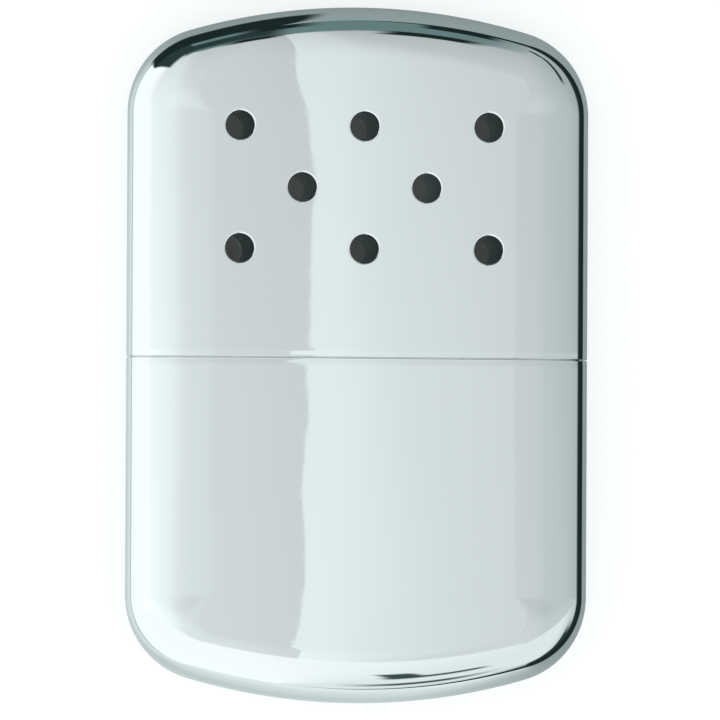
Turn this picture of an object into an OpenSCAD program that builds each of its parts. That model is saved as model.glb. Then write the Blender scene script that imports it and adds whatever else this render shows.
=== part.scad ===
// Catalytic pocket hand warmer, lying on its back: +Y points to the lid's end, +Z out of the front face.
// The origin is in the middle of the back face's footprint, on the level that the warmer lies on.
// A drawn tank and a drawn, vented lid of almost the same length meet at a seam. The lid slips over the
// collar of the tank, and inside it a burner sits on the filler neck.

/* [Body] */
// Width across the sides
body_w = 66; // [62:1:76]
// Length from end to end
body_l = 98.8; // [94:0.1:112]
// Thickness over the two faces
body_t = 14; // [13.6:0.2:17]
// Thickness of the drawn sheet of tank, lid and collar
sheet_t = 0.5; // [0.4:0.05:0.6]

/* [Outline] */
// Radius of the four corners of the outline
corner_r = 12.28; // [12.2:0.01:15]
// Radius of the arched ends of the outline
end_arch_r = 86.28; // [70:0.01:120]

/* [Rounded rim] */
// Radius of the rim at mid-thickness
side_r = 5; // [4:0.1:5.6]
// Width of the rounded rim, from the silhouette to where the face turns flat
shoulder_w = 11.5; // [10:0.1:12]

/* [Seam and collar] */
// Height of the seam above the tank's end
tank_l = 48.9; // [46:0.1:54]
// Open seam between the lid's edge and the tank's edge
seam_gap = 0.2; // [0.1:0.05:0.3]
// Height of the collar above the seam
collar_h = 3.6; // [2.8:0.1:4]
// Depth of the collar's skirt inside the tank
collar_depth = 6; // [4:0.5:9]
// Slip clearance between the collar and the lid, and solder gap in the tank
collar_gap = 0.15; // [0.1:0.05:0.25]
// Radius of the collar's drawn top edge
collar_edge_r = 1.6; // [1:0.1:2]

/* [Vents] */
// Diameter of a vent
vent_d = 4; // [3:0.1:4.6]
// Sideways step between neighbouring vent columns
vent_step_x = 8.9; // [8:0.05:9.1]
// Step between vent rows
vent_step_y = 8.7; // [7:0.05:8.9]
// Height of the lowest vent row above the seam
vent_rise = 15.4; // [12:0.05:17]
// Number of vent rows, three and two vents in turn
vent_rows = 3; // [1:1:3]

/* [Filler neck] */
// Width of the neck's obround tube
neck_w = 24; // [20:0.5:25]
// Thickness of the neck's obround tube
neck_t = 6.4; // [5:0.1:6.6]
// Height of the neck above the collar's plate
neck_h = 3.4; // [2.6:0.1:3.6]
// Sheet thickness of the neck
neck_sheet_t = 0.4; // [0.3:0.05:0.5]
// Width of the neck's flange under the plate
neck_flange_w = 1.4; // [1:0.1:2]
// Width of the lip that is turned in at the neck's mouth
neck_lip_w = 0.9; // [0.5:0.1:1.2]
// Solder gap between the neck and the plate
solder_gap = 0.05; // [0.02:0.01:0.1]

/* [Burner] */
// Width of the burner
burner_w = 30; // [28:0.5:31]
// Thickness of the burner, which is also the span of its vault
burner_t = 10; // [9.6:0.1:11]
// Height from the neck's mouth to the vault's axis
vault_rise = 0.6; // [0.5:0.05:1]
// Sheet thickness of the burner
burner_sheet_t = 0.35; // [0.3:0.05:0.4]
// Slip clearance between the burner's sleeve and the neck
burner_slip = 0.12; // [0.08:0.01:0.14]
// Gap under the seated burner
burner_seat_gap = 0.15; // [0.05:0.05:0.25]
// Gap between the neck's mouth and the flange over it
mouth_gap = 0.2; // [0.1:0.05:0.3]
// Depth of the crimp that is turned in under the burner's flange
crimp_w = 0.6; // [0.4:0.1:0.65]
// Play between the burner's own parts
part_gap = 0.05; // [0.02:0.01:0.08]

/* [Cage and catalyst] */
// Number of slots in the cage
cage_slots = 7; // [3:1:7]
// Width of a slot
slot_w = 1.8; // [1.2:0.1:2]
// Width of a bar between slots
bar_w = 0.9; // [0.6:0.1:1]
// Height of the cage's rail above the vault's axis
rail_h = 1.2; // [0.8:0.1:2]
// Thickness of the wire gauze
gauze_t = 0.15; // [0.1:0.01:0.2]
// Thickness of the diffuser plate
diffuser_t = 0.25; // [0.2:0.05:0.4]
// Diameter of the diffuser's holes
diffuser_hole_d = 1.1; // [0.8:0.1:1.4]
// Step between the diffuser's holes
diffuser_step = 2.4; // [2:0.1:3]
// Number of holes in each of the diffuser's two rows
diffuser_holes = 8; // [4:1:9]

/* [Sleeve slits] */
// Width of the slits that spring the sleeve
slit_w = 0.5; // [0.3:0.1:0.8]
// Height of the slits
slit_h = 2.2; // [1.5:0.1:2.6]
// Place of the slits, from the middle
slit_x = 6; // [4:0.5:8]

/* [Fillings] */
// Room left round cotton, felt and glass fibre
soft_gap = 0.3; // [0.2:0.05:0.4]

/* [Hidden] */
$fn = 96;
// How far a cut runs past what it cuts
over = 1;

mid_z = body_t / 2;
half_w = body_w / 2;
half_l = body_l / 2;

// The rim's shoulder arc starts level with the face and ends tangent to the side arc
shoulder_r = ((shoulder_w - side_r) ^ 2 + mid_z ^ 2 - side_r ^ 2) / (body_t - 2 * side_r);
// The corner arcs are tangent to the sides and to the arched ends
corner_x = half_w - corner_r;
arch_half_angle = asin(corner_x / (end_arch_r - corner_r));
arch_y = half_l - end_arch_r;
corner_y = arch_y + (end_arch_r - corner_r) * cos(arch_half_angle);

collar_inset = sheet_t + collar_gap;
seam_y = tank_l - half_l;
plate_y = seam_y + collar_h;
collar_foot_y = seam_y - collar_depth;

neck_mouth_y = plate_y + neck_h;
neck_foot_y = plate_y - sheet_t - solder_gap;
neck_flange_y = neck_foot_y - neck_sheet_t;
wadding_top_y = neck_flange_y - soft_gap;

sleeve_in_w = neck_w + 2 * burner_slip;
sleeve_in_t = neck_t + 2 * burner_slip;
sleeve_out_w = sleeve_in_w + 2 * burner_sheet_t;
sleeve_out_t = sleeve_in_t + 2 * burner_sheet_t;
sleeve_foot_y = plate_y + burner_seat_gap;
flange_y = neck_mouth_y + mouth_gap;
flange_top_y = flange_y + burner_sheet_t;
flange_inset = burner_sheet_t + part_gap;
diffuser_y = flange_top_y + part_gap;
vault_y = neck_mouth_y + vault_rise;
vault_r = burner_t / 2;
vault_x = burner_w / 2 - vault_r;
crimp_y = flange_y - part_gap - burner_sheet_t;
gauze_r = vault_r - burner_sheet_t - part_gap;
gauze_foot_y = diffuser_y + diffuser_t + part_gap;
pad_r = gauze_r - gauze_t - soft_gap;
pad_foot_y = diffuser_y + diffuser_t + soft_gap;

chrome = [0.84, 0.87, 0.87];
bare_steel = [0.66, 0.65, 0.62];
warm_steel = [0.60, 0.56, 0.50];
cotton = [0.93, 0.91, 0.86];
felt = [0.86, 0.83, 0.76];
glass_fibre = [0.45, 0.45, 0.46];

// Section of the rounded rim, set in by inset: the silhouette is at X = 0, the face turns flat at -shoulder_w
module rim_profile(inset) {
    // Where the shoulder arcs meet the side arc
    meet_x = (side_r - inset) * (shoulder_w - side_r) / (shoulder_r - side_r) - side_r;
    intersection() {
        translate([-shoulder_w, shoulder_r - mid_z])
            circle(r = shoulder_r - inset);
        translate([-shoulder_w, mid_z - shoulder_r])
            circle(r = shoulder_r - inset);
        translate([-shoulder_w, -mid_z])
            square([shoulder_w + meet_x, body_t]);
    }
    translate([-side_r, 0])
        circle(r = side_r - inset);
}

// Section of the rim as drawn sheet
module rim_sheet() {
    difference() {
        rim_profile(0);
        rim_profile(sheet_t);
    }
}

// Sweeps a rim section round one end of the body: along the sides from mouth_y, round both corners and
// over the arched end. The body's middle is at Y = 0, and its mid-thickness at Z = 0. Corner and arch
// both start from the plane in which they meet, and are cut off where the side and the middle begin.
module round_the_end(mouth_y) {
    for (side = [0, 1])
        mirror([side, 0, 0]) {
            intersection() {
                translate([0, arch_y, 0])
                    rotate([0, 0, 90 - arch_half_angle])
                        rotate_extrude(angle = 2 * arch_half_angle)
                            translate([end_arch_r, 0])
                                children();
                translate([0, 0, -body_t])
                    cube([half_w, body_l, 2 * body_t]);
            }
            intersection() {
                translate([corner_x, corner_y, 0])
                    rotate([0, 0, 90 - arch_half_angle])
                        mirror([0, 1, 0])
                            rotate_extrude(angle = 90)
                                translate([corner_r, 0])
                                    children();
                translate([0, corner_y, -body_t])
                    cube([body_w, body_l, 2 * body_t]);
            }
            translate([half_w, corner_y, 0])
                rotate([90, 0, 0])
                    linear_extrude(height = corner_y - mouth_y)
                        children();
        }
}

// Flat part of a face, inside the rim
module flat_plan(mouth_y) {
    flat_w = half_w - shoulder_w;
    translate([-flat_w, mouth_y])
        square([2 * flat_w, corner_y - mouth_y]);
    for (side = [-1, 1])
        translate([side * corner_x, corner_y])
            circle(r = corner_r - shoulder_w);
    intersection() {
        translate([0, arch_y])
            circle(r = end_arch_r - shoulder_w, $fn = 6 * $fn);
        translate([0, arch_y])
            polygon([[0, 0], 2 * [-corner_x, corner_y - arch_y], 2 * [corner_x, corner_y - arch_y]]);
        translate([-corner_x, mouth_y])
            square([2 * corner_x + shoulder_w, body_l]);
    }
}

// Drawn half-shell, open at mouth_y
module drawn_shell(mouth_y) {
    round_the_end(mouth_y)
        rim_sheet();
    for (z = [-mid_z, mid_z - sheet_t])
        translate([0, 0, z])
            linear_extrude(height = sheet_t)
                flat_plan(mouth_y);
}

// What fills a half-shell, set in from the body's skin by inset
module shell_filling(mouth_y, inset) {
    round_the_end(mouth_y)
        rim_profile(inset);
    translate([0, 0, inset - mid_z])
        linear_extrude(height = body_t - 2 * inset)
            flat_plan(mouth_y);
}

// Extrudes a drawing in X and Z along Y, from y_low to y_high
module along_y(y_low, y_high) {
    translate([0, y_high, mid_z])
        rotate([90, 0, 0])
            linear_extrude(height = y_high - y_low)
                children();
}

// Straight stretch of the body's closed section, set in by inset
module body_stretch(y_low, y_high, inset) {
    flat_w = half_w - shoulder_w;
    along_y(y_low, y_high) {
        for (side = [0, 1])
            mirror([side, 0])
                translate([half_w, 0])
                    rim_profile(inset);
        translate([-flat_w, inset - mid_z])
            square([2 * flat_w, body_t - 2 * inset]);
    }
}

// Obround in the drawing plane
module obround(width, thickness) {
    run = width - thickness;
    translate([-run / 2, -thickness / 2])
        square([run, thickness]);
    for (side = [-1, 1])
        translate([side * run / 2, 0])
            circle(d = thickness);
}

// Obround ring in the drawing plane, set in from the outer size by wall
module obround_ring(width, thickness, wall) {
    difference() {
        obround(width, thickness);
        obround(width - 2 * wall, thickness - 2 * wall);
    }
}

// Upper half of a round section with its axis at the origin, hollow where r_in is more than none
module half_round(r_out, r_in) {
    intersection() {
        difference() {
            circle(r = r_out);
            if (r_in > 0)
                circle(r = r_in);
        }
        translate([0, -r_out])
            square([r_out, 2 * r_out]);
    }
}

// Barrel vault along X with ball ends, standing on the level of the vault's axis
module vault(r_out, r_in = 0) {
    translate([-vault_x, vault_y, mid_z])
        rotate([90, 0, 90])
            linear_extrude(height = 2 * vault_x)
                half_round(r_out, r_in);
    for (side = [0, 1])
        mirror([side, 0, 0])
            translate([vault_x, vault_y, mid_z])
                rotate_extrude(angle = 90)
                    half_round(r_out, r_in);
}

// Everything from y_low upwards, as wide and thick as the body
module above(y_low) {
    translate([-half_w, y_low, 0])
        cube([body_w, body_l, body_t]);
}

module tank_shell() {
    color(chrome)
        translate([0, 0, mid_z])
            rotate([0, 0, 180])
                drawn_shell(seam_gap / 2 - seam_y);
}

module lid_shell() {
    color(chrome)
        difference() {
            translate([0, 0, mid_z])
                drawn_shell(seam_y + seam_gap / 2);
            vents();
        }
}

// Quincunx of vents, three and two in turn, drilled through both faces
module vents() {
    for (row = [0 : vent_rows - 1])
        for (column = [-1 : 1 - row % 2])
            translate([(2 * column + row % 2) * vent_step_x, seam_y + vent_rise + row * vent_step_y, -over])
                cylinder(d = vent_d, h = body_t + 2 * over);
}

// Closed form of the collar from y_low to y_high, its top edge drawn round on the faces and at the sides
module collar_form(y_low, y_high, inset, edge_r) {
    intersection() {
        body_stretch(y_low, y_high, inset);
        translate([-half_w + inset, 0, 0])
            linear_extrude(height = body_t)
                rounded_top(body_w - 2 * inset, y_low, y_high, edge_r);
        translate([half_w, 0, inset])
            rotate([0, -90, 0])
                linear_extrude(height = body_w)
                    rounded_top(body_t - 2 * inset, y_low, y_high, edge_r);
    }
}

// Rectangle from the origin with its two upper corners rounded
module rounded_top(width, y_low, y_high, edge_r) {
    translate([0, y_low])
        square([width, y_high - edge_r - y_low]);
    translate([edge_r, y_low])
        square([width - 2 * edge_r, y_high - y_low]);
    for (x = [edge_r, width - edge_r])
        translate([x, y_high - edge_r])
            circle(r = edge_r);
}

module tank_collar() {
    color(chrome)
        difference() {
            collar_form(collar_foot_y, plate_y, collar_inset, collar_edge_r);
            collar_form(collar_foot_y - over, plate_y - sheet_t, collar_inset + sheet_t,
                collar_edge_r - sheet_t);
            along_y(plate_y - 2 * sheet_t, plate_y + over)
                obround(neck_w + 2 * solder_gap, neck_t + 2 * solder_gap);
        }
}

module filler_neck() {
    color(bare_steel) {
        along_y(neck_flange_y, neck_mouth_y)
            obround_ring(neck_w, neck_t, neck_sheet_t);
        along_y(neck_flange_y, neck_foot_y)
            obround_ring(neck_w + 2 * neck_flange_w, neck_t + 2 * neck_flange_w,
                neck_flange_w + neck_sheet_t);
        along_y(neck_mouth_y - neck_sheet_t, neck_mouth_y)
            obround_ring(neck_w, neck_t, neck_sheet_t + neck_lip_w);
    }
}

module fuel_wadding() {
    color(cotton) {
        translate([0, 0, mid_z])
            rotate([0, 0, 180])
                shell_filling(soft_gap - collar_foot_y, sheet_t + soft_gap);
        body_stretch(collar_foot_y - soft_gap, wadding_top_y, collar_inset + sheet_t + soft_gap);
    }
}

module neck_wick() {
    wick_inset = neck_sheet_t + soft_gap;
    color(felt)
        along_y(wadding_top_y, neck_mouth_y - neck_sheet_t - soft_gap)
            obround(neck_w - 2 * wick_inset, neck_t - 2 * wick_inset);
}

module burner_skirt() {
    color(warm_steel) {
        difference() {
            along_y(sleeve_foot_y, flange_top_y)
                obround_ring(sleeve_out_w, sleeve_out_t, burner_sheet_t);
            for (side = [-1, 1])
                translate([side * slit_x - slit_w / 2, sleeve_foot_y - over, 0])
                    cube([slit_w, slit_h + over, body_t]);
        }
        along_y(flange_y, flange_top_y)
            difference() {
                obround(burner_w - 2 * flange_inset, burner_t - 2 * flange_inset);
                obround(sleeve_in_w, sleeve_in_t);
            }
    }
}

module diffuser_plate() {
    color(bare_steel)
        along_y(diffuser_y, diffuser_y + diffuser_t)
            difference() {
                obround(burner_w - 2 * flange_inset, burner_t - 2 * flange_inset);
                for (i = [0 : diffuser_holes - 1])
                    for (side = [-1, 1])
                        translate([(i - (diffuser_holes - 1) / 2) * diffuser_step, side * diffuser_step / 2])
                            circle(d = diffuser_hole_d);
            }
}

module catalyst_pad() {
    color(glass_fibre)
        intersection() {
            vault(pad_r);
            above(pad_foot_y);
        }
}

module catalyst_gauze() {
    color(bare_steel)
        intersection() {
            vault(gauze_r, gauze_r - gauze_t);
            above(gauze_foot_y);
        }
}

// Vaulted cage: a straight wall round the flange, crimped in under it, and bars that loop over the pad
module burner_cage() {
    color(warm_steel) {
        along_y(crimp_y, vault_y)
            obround_ring(burner_w, burner_t, burner_sheet_t);
        along_y(crimp_y, crimp_y + burner_sheet_t)
            obround_ring(burner_w, burner_t, burner_sheet_t + part_gap + crimp_w);
        difference() {
            vault(vault_r, vault_r - burner_sheet_t);
            for (i = [0 : cage_slots - 1])
                translate([(i - (cage_slots - 1) / 2) * (slot_w + bar_w) - slot_w / 2, vault_y + rail_h, 0])
                    cube([slot_w, vault_r, body_t]);
        }
    }
}

tank_shell();
tank_collar();
filler_neck();
fuel_wadding();
neck_wick();
lid_shell();
burner_skirt();
diffuser_plate();
catalyst_pad();
catalyst_gauze();
burner_cage();
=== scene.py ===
"""Catalytic pocket hand warmer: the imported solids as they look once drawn, plated and put together.

Sizes are in millimetres in the classes below and in metres in Blender. The warmer lies on its back: +Z comes
out of the front face, +Y points to the lid's end, and the seam lies just below the middle.
"""

import logging
import math
from dataclasses import dataclass, field
from enum import Enum

import bpy
import numpy as np
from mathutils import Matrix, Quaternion, Vector, geometry, noise


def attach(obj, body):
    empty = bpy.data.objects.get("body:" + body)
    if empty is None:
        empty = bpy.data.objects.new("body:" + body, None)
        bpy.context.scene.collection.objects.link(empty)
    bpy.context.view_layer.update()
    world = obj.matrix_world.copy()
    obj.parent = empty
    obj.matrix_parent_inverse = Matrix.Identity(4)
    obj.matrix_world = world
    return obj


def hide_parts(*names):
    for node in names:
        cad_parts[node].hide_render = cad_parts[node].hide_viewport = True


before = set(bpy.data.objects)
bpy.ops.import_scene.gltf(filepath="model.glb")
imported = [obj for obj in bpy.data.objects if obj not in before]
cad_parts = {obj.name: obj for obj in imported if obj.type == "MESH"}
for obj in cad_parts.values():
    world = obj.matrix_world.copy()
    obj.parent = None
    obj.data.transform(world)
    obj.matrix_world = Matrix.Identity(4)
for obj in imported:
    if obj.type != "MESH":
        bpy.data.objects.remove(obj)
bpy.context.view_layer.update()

MM = 0.001
SEAM_Y = -0.5
SEAM_GAP = 0.12

log = logging.getLogger("hand_warmer")


# ---------------------------------------------------------------------------------------------------------
# Meshes
# ---------------------------------------------------------------------------------------------------------


class MeshDraft:
    """Points, normals and faces of one piece, gathered patch by patch before they become a mesh."""

    def __init__(self) -> None:
        """Starts an empty draft."""
        self._points: list[np.ndarray] = []
        self._normals: list[np.ndarray] = []
        self._faces: list[tuple[int, ...]] = []
        self._finish: list[int] = []
        self._count = 0

    def add_points(self, points: np.ndarray, normals: np.ndarray) -> np.ndarray:
        """Adds points that carry the true surface normal, so that polish shows no facets.

        Args:
            points: Places in millimetres, in an array whose last axis is X, Y, Z.
            normals: Normals in an array of the same shape.

        Returns:
            The points' numbers, in the shape of the array without its last axis.
        """
        flat = np.asarray(points, float).reshape(-1, 3)
        turned = np.asarray(normals, float).reshape(-1, 3)
        length = np.linalg.norm(turned, axis=1, keepdims=True)
        self._points.append(flat)
        self._normals.append(turned / np.maximum(length, 1e-12))
        numbers = np.arange(self._count, self._count + len(flat))
        self._count += len(flat)
        return numbers.reshape(np.asarray(points).shape[:-1])

    def add_grid(self, numbers: np.ndarray, finish: int = 0, closed: bool = False) -> None:
        """Fills a grid of points with four-sided faces.

        Args:
            numbers: Point numbers, rows by columns.
            finish: Which of the piece's materials the faces take.
            closed: Whether the last column joins the first one.
        """
        if closed:
            numbers = np.concatenate([numbers, numbers[:, :1]], axis=1)
        quads = np.stack([numbers[:-1, :-1], numbers[1:, :-1], numbers[1:, 1:], numbers[:-1, 1:]], axis=-1)
        self.add_faces(quads.reshape(-1, 4).tolist(), finish)

    def add_faces(self, faces: list, finish: int = 0) -> None:
        """Adds faces, apart from those that have shrunk to a line.

        Args:
            faces: The point numbers of each face.
            finish: Which of the piece's materials the faces take.
        """
        kept = [tuple(dict.fromkeys(face)) for face in faces]
        kept = [face for face in kept if len(face) > 2]
        self._faces.extend(kept)
        self._finish.extend([finish] * len(kept))

    def add_flat(self, rim: np.ndarray, holes: list[np.ndarray], inside: np.ndarray, finish: int = 0,
                 plane: tuple[int, int] = (0, 1)) -> None:
        """Fills a nearly flat field between a rim and its holes with triangles.

        Args:
            rim: Point numbers round the field, in order.
            holes: Point numbers round each hole, in order.
            inside: Point numbers that lie inside the field.
            finish: Which of the piece's materials the faces take.
            plane: The two axes in which the field is spread out.
        """
        every = np.concatenate(self._points)[:, plane]
        holes_at = [(hole, every[hole]) for hole in holes]
        self.add_blank(rim, every[rim], holes_at, inside, every[inside], finish)

    def add_blank(self, rim: np.ndarray, rim_at: np.ndarray, holes: list[tuple[np.ndarray, np.ndarray]],
                  inside: np.ndarray, inside_at: np.ndarray, finish: int = 0) -> None:
        """Fills a field between a rim and its holes with triangles, as it lies in its flat blank.

        Args:
            rim: Point numbers round the field, in order.
            rim_at: The rim's places in the blank.
            holes: Point numbers round each hole, in order, with their places in the blank.
            inside: Point numbers that lie inside the field.
            inside_at: Their places in the blank.
            finish: Which of the piece's materials the faces take.
        """
        loops = [(rim, rim_at)] + holes
        numbers = np.concatenate([loop for loop, _ in loops] + [inside])
        edges, start = [], 0
        for loop, _ in loops:
            edges += [(start + i, start + (i + 1) % len(loop)) for i in range(len(loop))]
            start += len(loop)
        spread = [Vector(at) for at in np.concatenate([at for _, at in loops] + [inside_at])]
        made, _, faces, origin, _, _ = geometry.delaunay_2d_cdt(spread, edges, [], 0, 1e-7)
        middles = np.array([np.mean([made[v] for v in face], axis=0) for face in faces])
        keep = inside_outline(middles, rim_at)
        for _, hole_at in holes:
            keep &= ~inside_outline(middles, hole_at)
        kept = [face for face, inner in zip(faces, keep) if inner]
        self.add_faces([[numbers[origin[v][0]] for v in face] for face in kept], finish)

    def turned_over(self) -> "MeshDraft":
        """Turns the draft half a turn about Z, so that what pointed to +Y points to -Y.

        Returns:
            The same draft.
        """
        half_turn = np.array([-1.0, -1.0, 1.0])
        self._points = [points * half_turn for points in self._points]
        self._normals = [normals * half_turn for normals in self._normals]
        return self

    def to_object(self, name: str) -> bpy.types.Object:
        """Turns the draft into a smooth object in metres, with every face wound outwards.

        Args:
            name: The object's name.

        Returns:
            The new object, linked to the scene.
        """
        points, normals = np.concatenate(self._points), np.concatenate(self._normals)
        corners = np.array([(*face, face[-1])[:4] for face in self._faces])
        a, b, c, d = points[corners].transpose(1, 0, 2)
        across = np.cross(b - a, d - a) + np.cross(c - b, a - b)
        turned = np.einsum("ij,ij->i", across, normals[corners].sum(axis=1)) < 0
        faces = [face[::-1] if turn else face for face, turn in zip(self._faces, turned)]
        mesh = bpy.data.meshes.new(name)
        mesh.from_pydata((points * MM).tolist(), [], faces, shade_flat=False)
        mesh.polygons.foreach_set("material_index", self._finish)
        mesh.update()
        mesh.normals_split_custom_set_from_vertices(normals.tolist())
        return add_object(name, mesh)


def add_object(name: str, data: bpy.types.ID) -> bpy.types.Object:
    """Adds an object to the scene.

    Args:
        name: The object's name.
        data: Its mesh, curve or camera.

    Returns:
        The new object, linked to the scene.
    """
    piece = bpy.data.objects.new(name, data)
    bpy.context.scene.collection.objects.link(piece)
    return piece


def inside_outline(points: np.ndarray, outline: np.ndarray) -> np.ndarray:
    """Tells which points lie inside a closed outline.

    Args:
        points: Places in the plane, one a row.
        outline: Corners of the outline, in order.

    Returns:
        True for each point that lies inside.
    """
    x, y = points[:, :1], points[:, 1:]
    ax, ay = outline[:, 0], outline[:, 1]
    bx, by = np.roll(ax, -1), np.roll(ay, -1)
    rise = np.where(by == ay, 1e-12, by - ay)
    crossed = ((ay > y) != (by > y)) & (x < ax + (y - ay) * (bx - ax) / rise)
    return crossed.sum(axis=1) % 2 == 1


def uneven(places: np.ndarray, pitch: float, seed: float) -> np.ndarray:
    """Gives each place a smooth random value, in lumps.

    Args:
        places: Places in millimetres.
        pitch: How far apart the lumps are.
        seed: What makes one set of lumps unlike another.

    Returns:
        A value from 0 to 1 for each place.
    """
    flat = places.reshape(-1, 3) / pitch
    values = [0.5 + 0.5 * noise.noise(Vector(place) + Vector((seed, seed, seed))) for place in flat]
    return np.clip(np.array(values), 0, 1).reshape(places.shape[:-1])


def smooth_step(value: np.ndarray, low: float, high: float | np.ndarray) -> np.ndarray:
    """Rises smoothly from 0 at low to 1 at high."""
    t = np.clip((value - low) / (high - low), 0, 1)
    return t * t * (3 - 2 * t)


# ---------------------------------------------------------------------------------------------------------
# Form of the drawn body
# ---------------------------------------------------------------------------------------------------------


@dataclass(frozen=True)
class FaceCrown:
    """How far a polished face falls away from dead flat: a slight crown, and the ripple of drawing."""

    seed: int
    across_r: float = 1100.0
    along_r: float = 4200.0
    ripple: float = 0.0014
    pitch: float = 17.0
    waves: int = 7

    def fall(self, x: np.ndarray, y: np.ndarray) -> tuple[np.ndarray, np.ndarray, np.ndarray]:
        """Works out how far the face lies below its highest level.

        Args:
            x: Places across the body.
            y: Places along the body.

        Returns:
            The fall, and its slopes across and along.
        """
        dice = np.random.default_rng(self.seed)
        level = x**2 / (2 * self.across_r) + y**2 / (2 * self.along_r)
        slope_x, slope_y = x / self.across_r, y / self.along_r
        for _ in range(self.waves):
            heading = dice.uniform(0, math.pi)
            rate = 2 * math.pi / (self.pitch * dice.uniform(0.8, 2.2))
            along_x, along_y = rate * math.cos(heading), rate * math.sin(heading)
            phase = along_x * x + along_y * y + dice.uniform(0, 2 * math.pi)
            level = level + self.ripple * (1 + np.sin(phase))
            slope_x = slope_x + self.ripple * along_x * np.cos(phase)
            slope_y = slope_y + self.ripple * along_y * np.cos(phase)
        return level, slope_x, slope_y


@dataclass(frozen=True)
class BodyForm:
    """The body's outline and the rounding of its rim, which the lid and the tank share."""

    width: float = 66.0
    length: float = 98.8
    thickness: float = 14.0
    corner_r: float = 12.28
    end_arch_r: float = 86.28
    shoulder_w: float = 11.6
    end_shoulder_w: float = 7.5
    shoulder_power: float = 2.3
    side_r: float = 4.1
    end_r: float = 6.9
    first_meet: float = 0.5
    meet_rounds: int = 60
    still_w: float = 2.2
    side_rows: int = 30
    corner_rows: int = 44
    arch_rows: int = 56
    shoulder_steps: int = 26
    round_steps: int = 16

    @property
    def mid(self) -> float:
        """Half the body's thickness."""
        return self.thickness / 2

    def path(self, first_rows: np.ndarray) -> tuple[np.ndarray, np.ndarray, np.ndarray]:
        """Walks the silhouette from the right side of the mouth over the arched end to the left side.

        Args:
            first_rows: Levels along Y of the rows next to the mouth.

        Returns:
            Places on the silhouette, outward directions there, and how far the rim is an end's and not a
            side's.
        """
        half_w, half_l = self.width / 2, self.length / 2
        corner_x = half_w - self.corner_r
        arch_y = half_l - self.end_arch_r
        lean = math.asin(corner_x / (self.end_arch_r - self.corner_r))
        corner_y = arch_y + (self.end_arch_r - self.corner_r) * math.cos(lean)
        sides = np.concatenate([first_rows, np.linspace(first_rows[-1], corner_y, self.side_rows + 1)[1:]])
        corner = np.linspace(0, math.pi / 2 - lean, self.corner_rows + 1)[1:]
        arch = np.linspace(lean, 0, self.arch_rows // 2 + 1)[1:]
        out_corner = np.stack([np.cos(corner), np.sin(corner)], axis=1)
        out_arch = np.stack([np.sin(arch), np.cos(arch)], axis=1)
        place = np.concatenate([
            np.stack([np.full_like(sides, half_w), sides], axis=1),
            [corner_x, corner_y] + self.corner_r * out_corner, [0, arch_y] + self.end_arch_r * out_arch])
        heading = np.concatenate([np.tile([1.0, 0.0], (len(sides), 1)), out_corner, out_arch])
        end = np.concatenate([
            np.zeros(len(sides)), smooth_step(corner, 0.0, math.pi / 2 - lean), np.ones(len(arch))])
        other = slice(-2, None, -1)
        flip = np.array([-1.0, 1.0])
        return (np.concatenate([place, place[other] * flip]),
                np.concatenate([heading, heading[other] * flip]), np.concatenate([end, end[other]]))

    def rim_section(self, end: np.ndarray) -> tuple[np.ndarray, np.ndarray]:
        """Draws the front half of the rim's section, from the face's edge to the silhouette.

        The shoulder starts flat and curves more and more until it meets the round of the side, so that no
        crease shows in the chrome.

        Args:
            end: How far the rim is an end's and not a side's, one for each row.

        Returns:
            Distances in from the silhouette and heights over mid-thickness, rows by steps.
        """
        end = end[:, None]
        r = self.side_r + (self.end_r - self.side_r) * end
        shoulder_w = self.shoulder_w + (self.end_shoulder_w - self.shoulder_w) * end
        # The angle at which the shoulder meets the round is found by rounds of halving the step to it.
        meet = np.full_like(r, self.first_meet)
        for _ in range(self.meet_rounds):
            reach = shoulder_w - r + r * np.sin(meet)
            drop = self.mid - r * np.cos(meet)
            meet = (meet + np.arctan(self.shoulder_power * drop / reach)) / 2
        along = np.linspace(0, 1, self.shoulder_steps + 1)[None, :-1]
        inwards = shoulder_w - reach * along
        height = self.mid - drop * along**self.shoulder_power
        tilt = meet + (math.pi / 2 - meet) * np.linspace(0, 1, self.round_steps + 1)[None, :]
        return (np.concatenate([inwards, r - r * np.sin(tilt)], axis=1),
                np.concatenate([height, r * np.cos(tilt)], axis=1))

    def rim(self, first_rows: np.ndarray, front: FaceCrown, back: FaceCrown) -> np.ndarray:
        """Sweeps the rim's section along the silhouette.

        Args:
            first_rows: Levels along Y of the rows next to the mouth.
            front: Crown of the front face.
            back: Crown of the back face.

        Returns:
            Places on the rim, rows by steps, from the front face's edge round to the back face's edge.
        """
        place, heading, end = self.path(first_rows)
        inwards, height = self.rim_section(end)
        halves = []
        for crown, up in ((front, 1.0), (back, -1.0)):
            xy = place[:, None, :] - inwards[:, :, None] * heading[:, None, :]
            fall = crown.fall(xy[..., 0], xy[..., 1])[0]
            fall = fall * smooth_step(inwards, self.still_w, inwards[:, :1])
            halves.append(np.concatenate([xy, (self.mid + up * (height - fall))[..., None]], axis=2))
        return np.concatenate([halves[0], halves[1][:, -2::-1]], axis=1)


def surface_normals(places: np.ndarray) -> np.ndarray:
    """Works out the normals of a swept grid of places.

    Args:
        places: The grid's places, rows by steps.

    Returns:
        The normals, which point to the side that a right hand gives.
    """
    along, around = np.gradient(places, axis=0), np.gradient(places, axis=1)
    normals = np.cross(around, along)
    return normals / np.linalg.norm(normals, axis=-1, keepdims=True)


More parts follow.
